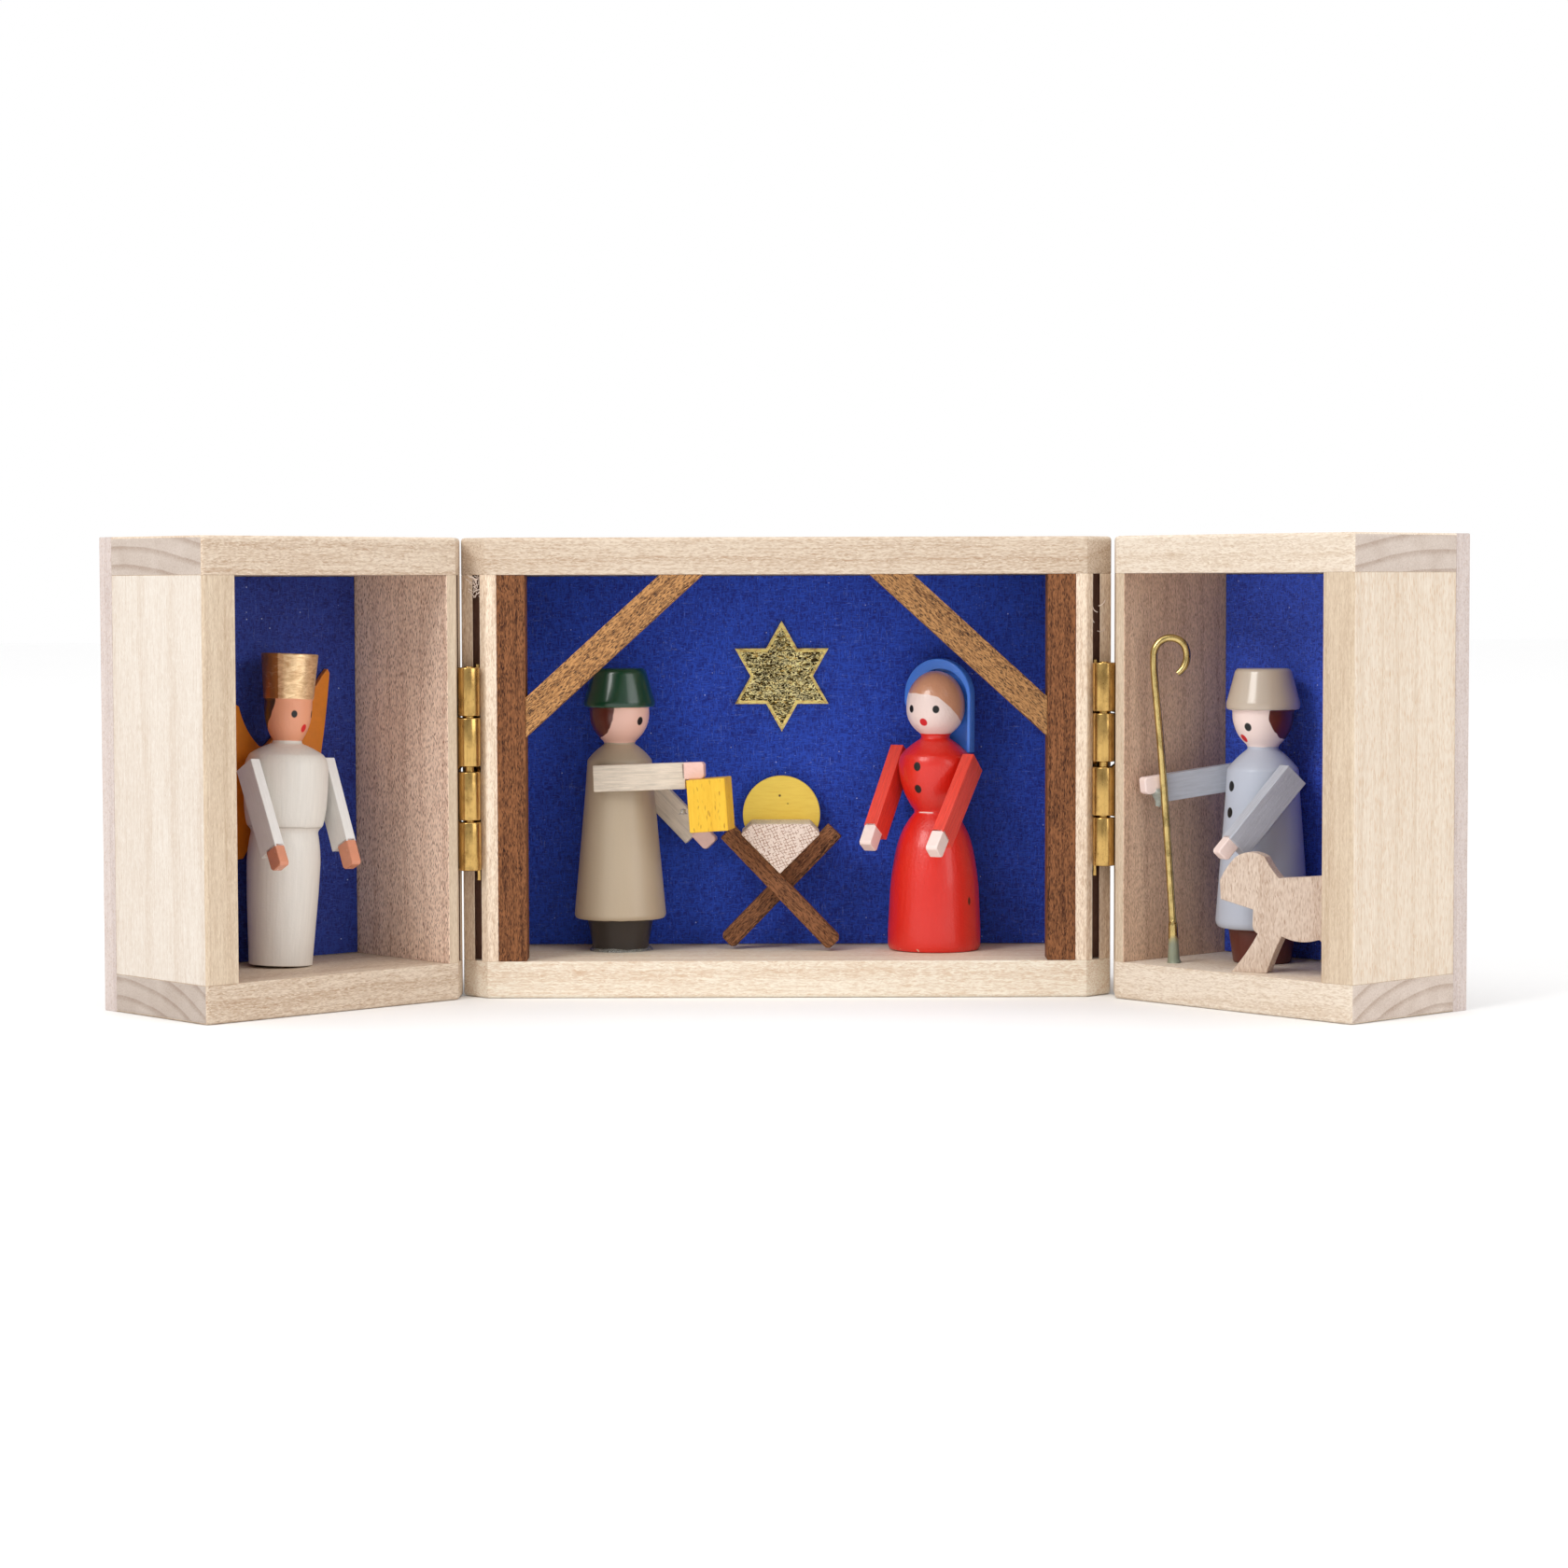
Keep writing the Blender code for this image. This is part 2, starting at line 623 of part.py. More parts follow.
def mary():
    """She stands at the right, her hands held out and a veil behind her head."""
    arms = ((1, (-1.37, 21.71), 35.4), (-1, (0.07, 20.89), 41.4))
    stand = doll("mary", None, (16.36, RIM_Y + 12.4), -29.8, mary_profile(), "red_dress", arms)
    half, shoulder, spring = 4.1, 21.8, 27.9
    outline = [(-half, shoulder), (half, shoulder)]
    for step in range(17):
        angle = math.radians(180 * step / 16)
        outline.append((half * math.cos(angle), spring + half * math.sin(angle)))
    veil = upright("mary_veil", outline, 1.0, 1.3, "blue_veil", stand)
    clear = [(radius + GLUE if radius else 0.0, height) for radius, height in mary_profile()]
    clear[0] = (0.0, clear[0][1] + GLUE)
    clear[1] = (clear[1][0], clear[1][1] + GLUE)
    cut(veil, turned("mary_veil_hollow", clear, "blue_veil", stand, CUTTERS))


def angel(wing):
    """She stands in the left wing tray, a pair of wings cut from one board on her back."""
    arms = ((1, (0.0, 21.5), 30.0), (-1, (-0.3, 21.5), 28.0))
    at = (-(18.0 - PIN_INSET), RIM_GAP / 2 + 11.0)
    stand = doll("angel", wing, at, 0.0, angel_profile(), "white_gown", arms, lean=2.0)
    half = drawn(
        (0.0, 14.5),
        (2.05, 11.0),
        (2.9, 10.9),
        (7.73, 22.4, -0.9),
        (8.55, 31.2, -0.1),
        (8.26, 31.7),
        (7.47, 30.8),
        (3.17, 27.3, 0.5),
        (0.37, 23.06, 0.4),
    )
    outline = half + [(-x, z) for x, z in reversed(half) if x]
    upright("angel_wings", outline, 4.45, 0.7, "ochre_wings", stand)


def shepherd(wing):
    """He stands in the right wing tray and holds a crook out."""
    arms = ((1, (0.3, 19.49), 83.3), (-1, (-0.8, 20.33), 38.0))
    at = (14.0 - PIN_INSET, RIM_GAP / 2 + 11.0)
    doll("shepherd", wing, at, -19.8, shepherd_profile(), "grey_coat", arms)


def crook(wing):
    """A bent brass wire whose foot is set in the floor."""
    stand = empty("crook_stand", wing, (8.1 - PIN_INSET, RIM_GAP / 2 + 3.7, FLOOR + GLUE), RIGHT_OPENING_TURN)
    points = [(0.0, 0.0, 1.6), (-0.05, 1.0, 1.45), (-0.12, 3.0, 1.15), (-0.18, 4.6, 1.0)]
    points += [(-0.67, 13.11, 1.0), (-1.4, 23.04, 1.0), (-2.15, 30.0, 1.0)]
    radius = 1.84
    middle = (-0.43, 32.4)
    for step in range(14):
        angle = math.radians(184 - 17 * step)
        points.append((middle[0] + radius * math.cos(angle), middle[1] + radius * math.sin(angle), 1.0))
        radius -= 0.015
    curve = bpy.data.curves.new("shepherd_crook", "CURVE")
    curve.dimensions = "3D"
    curve.bevel_depth = CROOK_WIRE * MM
    curve.bevel_resolution = 2
    curve.use_fill_caps = True
    spline = curve.splines.new("POLY")
    spline.points.add(len(points) - 1)
    for point, (x, z, thick) in zip(spline.points, points):
        point.co = (x * MM, 0.0, z * MM, 1.0)
        point.radius = thick
    obj = bpy.data.objects.new("shepherd_crook", curve)
    PIECES.objects.link(obj)
    curve.materials.append(finish("brass"))
    place(obj, stand)


def sheep(wing):
    """A flat sheep sawn from one board, seen from its left side."""
    at = (19.85 - PIN_INSET, RIM_GAP / 2 + 2.14, FLOOR + GLUE)
    stand = empty("sheep_stand", wing, at, 17.94)
    outline = drawn(
        (-3.05, 7.53),
        (0.59, 6.57),
        (0.53, 4.93),
        (1.13, 4.08, -0.15),
        (-1.62, 0.0, 0.15),
        (1.67, 0.0),
        (3.46, 3.87, 0.1),
        (7.9, 3.74, -0.4),
        (8.9, 2.6, 0.1),
        (8.6, 0.0),
        (11.2, 0.0),
        (10.9, 4.2, 0.2),
        (11.3, 7.6, -0.15),
        (9.9, 10.2, -0.4),
        (3.59, 9.89, 0.1),
        (1.87, 12.09, 0.1),
        (-1.42, 11.97, -0.5),
        (-3.14, 9.48, -0.15),
    )
    upright("sheep", outline, 0.0, 1.6, "pale_beech", stand)


clear_scene()
PIECES = new_collection("nativity_shrine_box")
CUTTERS = new_collection("cutters")
CUTTERS.hide_render = True
LEFT_OPENING_TURN = 180.0 - LEFT_OPENING
RIGHT_OPENING_TURN = 180.0 - RIGHT_OPENING
left_wing = empty("left_wing", None, (-HINGE_X, HINGE_Y, 0.0), LEFT_OPENING_TURN)
right_wing = empty("right_wing", None, (HINGE_X, HINGE_Y, 0.0), -RIGHT_OPENING_TURN)
outer_face = WING_WIDTH - PIN_INSET
tray("center", None, -WIDTH / 2, WIDTH / 2, RIM_Y, CENTER_DEPTH, (-1, 1), ("left_side", "right_side"))
wing_names = ("outer_side", "hinge_side")
tray("left_wing", left_wing, -outer_face, PIN_INSET, RIM_GAP / 2, WING_DEPTH, (1,), wing_names)
tray("right_wing", right_wing, -PIN_INSET, outer_face, RIM_GAP / 2, WING_DEPTH, (-1,), wing_names[::-1])
hinge(-1, left_wing, LEFT_HINGE_FOOT, (0, 2))
hinge(1, right_wing, RIGHT_HINGE_FOOT, (1, 3))
timber_frame()
star()
crib()
joseph()
mary()
angel(left_wing)
shepherd(right_wing)
crook(right_wing)
sheep(right_wing)
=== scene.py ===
"""The looks of a pocket nativity shrine: three pale wooden trays on brass hinges, with turned and painted figures.

Every shape is made in millimetres of its own frame and put in place in its mesh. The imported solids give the
bodies, the joints and the places, and each piece here stands for the solid of the same name.
"""

import json
import logging
import math
from collections.abc import Callable, Sequence
from dataclasses import dataclass, replace
from enum import Enum
from typing import Any, TypeAlias

import bmesh
import bpy
from mathutils import Matrix, Vector


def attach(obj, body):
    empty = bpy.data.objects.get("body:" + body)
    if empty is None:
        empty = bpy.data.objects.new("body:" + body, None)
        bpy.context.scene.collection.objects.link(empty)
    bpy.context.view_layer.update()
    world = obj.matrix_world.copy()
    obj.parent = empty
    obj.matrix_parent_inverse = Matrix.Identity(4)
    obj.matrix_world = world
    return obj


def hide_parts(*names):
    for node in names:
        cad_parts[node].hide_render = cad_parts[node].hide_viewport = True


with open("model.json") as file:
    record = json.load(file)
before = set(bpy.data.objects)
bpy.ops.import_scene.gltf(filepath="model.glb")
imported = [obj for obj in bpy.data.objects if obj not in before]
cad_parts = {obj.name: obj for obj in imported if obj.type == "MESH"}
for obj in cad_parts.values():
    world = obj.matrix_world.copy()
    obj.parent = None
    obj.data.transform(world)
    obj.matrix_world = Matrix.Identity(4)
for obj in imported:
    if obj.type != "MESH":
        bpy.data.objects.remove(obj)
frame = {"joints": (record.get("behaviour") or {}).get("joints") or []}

LOG = logging.getLogger("shrine")
MM = 0.001

# Where the centre tray's rim and the floor inside it lie, in millimetres
RIM_Y = -10.25
FLOOR_Z = 4.0

Point = tuple[float, float, float]
Flat = tuple[float, float]
Outline = list[Flat]
Colour = tuple[float, float, float]
# A place on an outline: x and y, and for a bowed way there its swell and its count of points
Stop = tuple[float, ...]
# A node's settings by their names, or its sockets by their numbers, identifiers or names
Given = dict[Any, Any] | None
Socket = bpy.types.NodeSocket
Material = bpy.types.Material
NodeTree = bpy.types.NodeTree
Number: TypeAlias = "Value | float"


class Body(Enum):
    """The bodies that pieces ride on."""

    CENTER = "center_box"
    LEFT = "left_wing"
    RIGHT = "right_wing"


class Slot(Enum):
    """The finishes that the record names."""

    MAPLE = "maple"
    PALE_BEECH = "pale_beech"
    STAINED = "stained_wood"
    OILED = "oiled_wood"
    BLUE_PAPER = "blue_paper"
    BRASS = "brass"
    FOIL = "gold_foil"
    JOSEPH = "joseph_paint"
    MARY = "mary_paint"
    VEIL = "veil_paint"
    ANGEL = "angel_paint"
    WINGS = "wing_paint"
    SHEPHERD = "shepherd_paint"
    YELLOW = "yellow_paint"


class Grain(Enum):
    """Which way the fibres run in the piece's own frame."""

    LENGTHWISE = "x"
    UPRIGHT = "z"
    ACROSS = "y"


def tint(red: int, green: int, blue: int) -> Colour:
    """A colour from a paint chart's 0 to 255 values, as light."""
    shares = [value / 255 for value in (red, green, blue)]
    return tuple(s / 12.92 if s <= 0.04045 else ((s + 0.055) / 1.055) ** 2.4 for s in shares)


# --- node trees ---


class Value:
    """A number on a socket, whose arithmetic adds Math nodes."""

    def __init__(self, tree: "Tree", socket: Socket) -> None:
        """Wrap a socket of that tree."""
        self.tree = tree
        self.socket = socket

    def math(self, operation: str, *others: Number) -> "Value":
        """This value and others through one Math node."""
        sockets = dict(enumerate((self, *others)))
        return self.tree.number("ShaderNodeMath", {"operation": operation}, sockets)

    def __add__(self, other: Number) -> "Value":
        """Sum."""
        return self.math("ADD", other)

    __radd__ = __add__

    def __mul__(self, other: Number) -> "Value":
        """Product."""
        return self.math("MULTIPLY", other)

    __rmul__ = __mul__

    def __sub__(self, other: Number) -> "Value":
        """Difference."""
        return self.math("SUBTRACT", other)

    def __rsub__(self, other: float) -> "Value":
        """A number less this value."""
        return self.tree.number("ShaderNodeMath", {"operation": "SUBTRACT"}, {0: other, 1: self})

    def __truediv__(self, other: Number) -> "Value":
        """Quotient."""
        return self.math("DIVIDE", other)

    def __pow__(self, other: float) -> "Value":
        """Power."""
        return self.math("POWER", other)

    def __abs__(self) -> "Value":
        """Size without its sign."""
        return self.math("ABSOLUTE")

    def least(self, other: Number) -> "Value":
        """The smaller of two."""
        return self.math("MINIMUM", other)

    def most(self, other: Number) -> "Value":
        """The larger of two."""
        return self.math("MAXIMUM", other)

    def rise(self, low: float, high: float) -> "Value":
        """0 below low, 1 above high and a smooth way between; low above high turns it round.

        Args:
            low: Where it starts to leave 0.
            high: Where it reaches 1.

        Returns:
            The eased share.
        """
        settings = {"interpolation_type": "SMOOTHSTEP"}
        return self.tree.number("ShaderNodeMapRange", settings, {0: self, 1: low, 2: high, 3: 0.0, 4: 1.0})


class Tree:
    """A node tree and what adds nodes to it."""

    def __init__(self, tree: NodeTree) -> None:
        """Start with an empty tree."""
        self.tree = tree
        tree.nodes.clear()

    def node(self, kind: str, settings: Given = None, sockets: Given = None) -> bpy.types.Node:
        """Add a node.

        Args:
            kind: The node's type.
            settings: Its own settings, set first; "stops" fills a colour ramp with (position, colour).
            sockets: Values or links by the socket's number, identifier or name.

        Returns:
            The node.
        """
        made = self.tree.nodes.new(kind)
        for name, value in (settings or {}).items():
            if name == "stops":
                ramp = made.color_ramp.elements
                while len(ramp) < len(value):
                    ramp.new(1.0)
                for element, (position, colour) in zip(ramp, value):
                    element.position = position
                    element.color = (*colour, 1.0)
            else:
                setattr(made, name, value)
        for key, value in (sockets or {}).items():
            named = [s for s in made.inputs if key in (s.identifier, s.name)]
            target = made.inputs[key] if isinstance(key, int) else named[0]
            if isinstance(value, Value):
                value = value.socket
            if isinstance(value, Socket):
                self.tree.links.new(value, target)
            elif target.type == "RGBA" and len(value) == 3:
                target.default_value = (*value, 1.0)
            else:
                target.default_value = value
        return made

    def made(self, kind: str, settings: Given = None, sockets: Given = None) -> Socket:
        """The first output of a new node."""
        return self.node(kind, settings, sockets).outputs[0]

    def number(self, kind: str, settings: Given = None, sockets: Given = None) -> Value:
        """The first output of a new node, as a value."""
        return Value(self, self.made(kind, settings, sockets))

    def vector(self, x: Number, y: Number, z: Number = 0.0) -> Socket:
        """A vector from three values."""
        return self.made("ShaderNodeCombineXYZ", None, {0: x, 1: y, 2: z})


class Finish(Tree):
    """A material being made for one piece, whose pattern lies in the piece's own frame in millimetres."""

    def __init__(self, name: str, place: Matrix) -> None:
        """Start the material and its coordinates.

        Args:
            name: The material's name.
            place: The frame, in millimetres, that the pattern lies in.
        """
        self.material = bpy.data.materials.new(name)
        self.material.use_nodes = True
        super().__init__(self.material.node_tree)
        turn = place.to_3x3().to_euler()
        sockets = {
            "Vector": self.node("ShaderNodeTexCoord").outputs["Object"],
            "Location": place.translation * MM,
            "Rotation": turn,
            "Scale": (MM, MM, MM),
        }
        self.place = self.made("ShaderNodeMapping", {"vector_type": "TEXTURE"}, sockets)
        parts = self.node("ShaderNodeSeparateXYZ", None, {0: self.place})
        self.x, self.y, self.z = (Value(self, socket) for socket in parts.outputs)

    def scaled(self, by: Point, shift: Point = (0.0, 0.0, 0.0)) -> Socket:
        """The place stretched along its axes, then shifted."""
        sockets = {0: self.place, 1: by, 2: shift}
        return self.made("ShaderNodeVectorMath", {"operation": "MULTIPLY_ADD"}, sockets)

    def noise(
        self,
        where: Socket | Point,
        detail: float = 2.0,
        rough: float = 0.5,
        warp: float = 0.0,
        shift: Point = (0.0, 0.0, 0.0),
    ) -> Value:
        """Cloudy noise about one unit wide, around a half.

        Args:
            where: A vector, or how the place is stretched along its axes.
            detail: Finer and finer layers.
            rough: How strong the finer ones are.
            warp: How far it is stirred.
            shift: Shift of a stretched place.

        Returns:
            The noise.
        """
        vector = self.scaled(where, shift) if isinstance(where, tuple) else where
        sockets = {"Vector": vector, "Scale": 1.0, "Detail": detail, "Roughness": rough, "Distortion": warp}
        return self.number("ShaderNodeTexNoise", None, sockets)

    def cells(self, vector: Socket) -> tuple[Value, Value]:
        """The distance to the nearest of scattered points, and that point's own random number."""
        node = self.node("ShaderNodeTexVoronoi", None, {"Vector": vector, "Scale": 1.0})
        chance = self.node("ShaderNodeSeparateColor", None, {0: node.outputs["Color"]})
        return Value(self, node.outputs["Distance"]), Value(self, chance.outputs[0])

    def specks(self, vector: Socket, share: float, size: float, soft: float = 0.08) -> Value:
        """Scattered round marks in unit cells, in only that share of them."""
        away, chance = self.cells(vector)
        return away.rise(size + soft, size) * chance.rise(share + 0.01, share - 0.01)

    def mix(self, factor: Number, under: Any, over: Any) -> Socket:
        """One colour laid over another by a factor."""
        settings = {"data_type": "RGBA", "clamp_factor": True}
        sockets = {"Factor_Float": factor, "A_Color": under, "B_Color": over}
        node = self.node("ShaderNodeMix", settings, sockets)
        return next(s for s in node.outputs if s.identifier == "Result_Color")

    def lines(self, way: Flat, pitch: float, wander: float) -> Value:
        """Uneven fine lines in XY.

        Args:
            way: The direction across the lines.
            pitch: How far apart they lie.
            wander: How far they stray, in pitches.

        Returns:
            1 on a line and 0 between lines.
        """
        stray = self.noise((1.6, 1.6, 1.6), 2.0) * (wander * 2)
        broken = self.noise((2.4, 2.4, 2.4), 2.0, shift=(5.0, 3.0, 1.0)).rise(0.3, 0.55)
        run = (self.x * way[0] + self.y * way[1]) / pitch + stray
        return abs(run.math("FRACT") - 0.5).rise(0.32, 0.46) * broken

    def spot(self, middle: Point, radius: float, tall: float = 1.0, soft: float = 0.06) -> Value:
        """A round or upright oval dab of paint about a point."""
        squeeze = (1.0, 1.0, 1.0 / tall)
        centre = Vector(middle) * Vector(squeeze)
        sockets = {0: self.scaled(squeeze), 1: centre}
        node = self.node("ShaderNodeVectorMath", {"operation": "DISTANCE"}, sockets)
        return Value(self, node.outputs["Value"]).rise(radius + soft, radius - soft)

    def ramp(self, value: Value, stops: Sequence[Flat]) -> Value:
        """A smooth curve from 0..1 to 0..1 through stops of (position, height)."""
        settings = {"stops": [(position, (height,) * 3) for position, height in stops]}
        node = self.node("ShaderNodeValToRGB", settings, {0: value})
        node.color_ramp.interpolation = "CARDINAL"
        return self.number("ShaderNodeRGBToBW", None, {0: node.outputs["Color"]})

    def done(
        self,
        colour: Any,
        rough: Number,
        relief: Value | None = None,
        depth: float = 0.02,
        metallic: Number = 0.0,
        coat: Number = 0.0,
        coat_rough: float = 0.08,
        specular: float = 0.5,
        alpha: Number = 1.0,
        glow: Any = (0.0, 0.0, 0.0, 1.0),
    ) -> Material:
        """Finish the material.

        Args:
            colour: Base colour or its socket.
            rough: Roughness.
            relief: Height of the surface, 0 to 1, for its bump.
            depth: What a height of 1 stands for, in millimetres.
            metallic: Metal share.
            coat: Varnish weight.
            coat_rough: Roughness of the varnish.
            specular: Strength of the plain gloss.
            alpha: Opacity.
            glow: Light that it gives off.

        Returns:
            The material.
        """
        sockets: dict[Any, Any] = {
            "Base Color": colour,
            "Roughness": rough,
            "Metallic": metallic,
            "Coat Weight": coat,
            "Coat Roughness": coat_rough,
            "Specular IOR Level": specular,
            "Alpha": alpha,
            "Emission Color": glow,
            "Emission Strength": 1.0,
        }
        if relief is not None:
            bump = {"Height": relief, "Distance": depth * MM, "Strength": 1.0}
            sockets["Normal"] = self.made("ShaderNodeBump", None, bump)
        shader = self.made("ShaderNodeBsdfPrincipled", None, sockets)
        self.node("ShaderNodeOutputMaterial", None, {"Surface": shader})
        return self.material


# --- frames and shapes ---


def axes(right: Point, forward: Point, up: Point) -> Matrix:
    """A turn given by where its three axes point."""
    return Matrix((right, forward, up)).transposed().to_4x4()


STANDING = axes((1, 0, 0), (0, 0, 1), (0, -1, 0))
GRAIN_TURN = {
    Grain.UPRIGHT: Matrix.Identity(4),
    Grain.LENGTHWISE: axes((0, 1, 0), (0, 0, 1), (1, 0, 0)),
    Grain.ACROSS: axes((0, 0, 1), (1, 0, 0), (0, 1, 0)),
}


def at(x: float, y: float, z: float = 0.0, turn: float = 0.0) -> Matrix:
    """A frame at a point in millimetres, turned about the vertical by degrees."""
    return Matrix.Translation((x, y, z)) @ Matrix.Rotation(math.radians(turn), 4, "Z")


def bow(start: Flat, end: Flat, swell: float, count: int = 10) -> Outline:
    """The points after start along a shallow arc.

    Args:
        start: Where it begins.
        end: Where it ends.
        swell: How far it bows to the left of the way.
        count: How many points.

    Returns:
        The points, with the end and without the start.
    """
    (x0, y0), (x1, y1) = start, end
    run = math.hypot(x1 - x0, y1 - y0)
    points = []
    for step in range(1, count + 1):
        along = step / count
        out = 4 * swell * along * (1 - along)
        points.append((x0 + (x1 - x0) * along - (y1 - y0) / run * out, y0 + (y1 - y0) * along + (x1 - x0) / run * out))
    return points


def drawn(*stops: Stop) -> Outline:
    """An outline through stops of (x, y), to which a bowed way adds its swell and, if not ten, its count of points."""
    points = [stops[0][:2]]
    for stop in stops[1:]:
        points += bow(points[-1], stop[:2], *stop[2:]) if len(stop) > 2 else [stop]
    return points


def softened(points: Outline, radius: float, sharp: float = 14.0) -> Outline:
    """Round the corners of an open line that turn by more than some degrees, as sandpaper and paint do."""
    line = [Vector(point) for point in points]
    out = [line[0]]
    for before, here, after in zip(line, line[1:], line[2:]):
        back, ahead = before - here, after - here
        if back.length < 1e-6 or ahead.length < 1e-6 or math.degrees(math.pi - back.angle(ahead)) < sharp:
            out.append(here)
            continue
        reach = min(radius, 0.45 * back.length, 0.45 * ahead.length)
        start, end = here + back.normalized() * reach, here + ahead.normalized() * reach
        for step in range(5):
            share = step / 4
            out.append(start * (1 - share) ** 2 + here * 2 * share * (1 - share) + end * share**2)
    return [tuple(point) for point in out + [line[-1]]]


def linked(name: str, data: bpy.types.ID) -> bpy.types.Object:
    """A new object in the scene."""
    obj = bpy.data.objects.new(name, data)
    bpy.context.scene.collection.objects.link(obj)
    return obj


class Shape:
    """A closed mesh in millimetres of its own frame."""

    def __init__(self) -> None:
        """Start empty."""
        self.mesh = bmesh.new()

    @classmethod
    def lofted(cls, rings: Sequence[Sequence[Point]], closed: bool = False) -> "Shape":
        """Faces from ring to ring of points, where a ring of one point is a pole.

        Args:
            rings: The rings in their order.
            closed: Whether the last one meets the first; if not, a flat face closes each end that is no pole.

        Returns:
            The shape.
        """
        shape = cls()
        made = [[shape.mesh.verts.new(point) for point in ring] for ring in rings]
        for end in () if closed else (made[0][::-1], made[-1]):
            if len(end) > 1:
                shape.mesh.faces.new(end)
        sides = max(len(ring) for ring in made)
        for one, other in zip(made, made[1:] + (made[:1] if closed else [])):
            for index in range(sides):
                nxt = (index + 1) % sides
                corners = ((one, index), (one, nxt), (other, nxt), (other, index))
                shape.mesh.faces.new(list(dict.fromkeys(ring[step % len(ring)] for ring, step in corners)))
        return shape.outward()

    @classmethod
    def plate(cls, outline: Sequence[Flat], low: float, high: float) -> "Shape":
        """An outline in XY raised between two heights."""
        return cls.lofted([[(x, y, height) for x, y in outline] for height in (low, high)])

    @classmethod
    def upright(cls, outline: Sequence[Flat], front: float, thick: float) -> "Shape":
        """An outline standing in XZ, from its front face back."""
        return cls.plate(outline, -thick, 0.0).moved(at(0.0, front, 0.0) @ STANDING)

    @classmethod
    def block(cls, low: Point, high: Point) -> "Shape":
        """A block between two corners."""
        outline = [(low[0], low[1]), (high[0], low[1]), (high[0], high[1]), (low[0], high[1])]
        return cls.plate(outline, low[2], high[2])

    @classmethod
    def turned(cls, profile: Sequence[Flat], steps: int = 96) -> "Shape":
        """A lathe piece whose profile of (radius, height) runs from the top centre to the bottom centre."""
        rings = []
        for radius, height in profile:
            turns = [2 * math.pi * step / steps for step in range(steps if radius > 1e-6 else 1)]
            rings.append([(radius * math.sin(angle), -radius * math.cos(angle), height) for angle in turns])
        return cls.lofted(rings)

    @classmethod
    def grown(cls, source: bpy.types.ID, tree: NodeTree, sizes: dict[str, Any]) -> "Shape":
        """The plain mesh that a Geometry Nodes tree makes from a mesh or curve.

        Args:
            source: What the tree starts from.
            tree: The tree.
            sizes: Its inputs by their names.

        Returns:
            The shape.
        """
        obj = linked("growing", source)
        modifier = obj.modifiers.new("grow", "NODES")
        modifier.node_group = tree
        for item in tree.interface.items_tree:
            if item.item_type == "SOCKET" and item.name in sizes:
                modifier[item.identifier] = sizes[item.name]
        return cls.of_object(obj)

    @classmethod
    def of_object(cls, obj: bpy.types.Object) -> "Shape":
        """The evaluated mesh of a temporary object, which is removed."""
        bpy.context.view_layer.update()
        graph = bpy.context.evaluated_depsgraph_get()
        mesh = bpy.data.meshes.new_from_object(obj.evaluated_get(graph))
        bpy.data.objects.remove(obj)
        shape = cls()
        shape.mesh.from_mesh(mesh)
        bpy.data.meshes.remove(mesh)
        for face in shape.mesh.faces:
            face.material_index = 0
        return shape

    def loose(self) -> bpy.types.Object:
        """A temporary object that takes the mesh over."""
        mesh = bpy.data.meshes.new("loose")
        self.mesh.to_mesh(mesh)
        self.mesh.free()
        return linked("loose", mesh)

    def outward(self) -> "Shape":
        """Turn every face outwards."""
        bmesh.ops.recalc_face_normals(self.mesh, faces=self.mesh.faces)
        return self

    def moved(self, place: Matrix) -> "Shape":
        """Move the mesh."""
        bmesh.ops.transform(self.mesh, matrix=place, verts=self.mesh.verts)
        return self

    def joined(self, other: "Shape") -> "Shape":
        """Take in another shape's faces."""
        mesh = bpy.data.meshes.new("part")
        other.mesh.to_mesh(mesh)
        other.mesh.free()
        self.mesh.from_mesh(mesh)
        bpy.data.meshes.remove(mesh)
        return self

    def eased(self, width: float, weight: Callable[[list[Vector]], float] | None = None, segments: int = 3) -> "Shape":
        """Round the sharp edges.

        Args:
            width: The widest rounding.
            weight: The share of it for an edge, given its ends; everywhere 1 if missing.
            segments: Faces across a rounding.

        Returns:
            The rounded shape.
        """
        layer = self.mesh.edges.layers.float.new("bevel_weight_edge")
        for edge in self.mesh.edges:
            if edge.calc_face_angle(0.0) > math.radians(25):
                edge[layer] = weight([vert.co for vert in edge.verts]) if weight else 1.0
        obj = self.loose()
        modifier = obj.modifiers.new("ease", "BEVEL")
        modifier.width = width
        modifier.segments = segments
        modifier.limit_method = "WEIGHT"
        return Shape.of_object(obj)

    def dressed(self, rule: Callable[[Vector, Vector], int]) -> "Shape":
        """Give each face the number of its finish, from its middle and its normal."""
        self.mesh.normal_update()
        for face in self.mesh.faces:
            face.material_index = rule(face.calc_center_median(), face.normal)
        return self

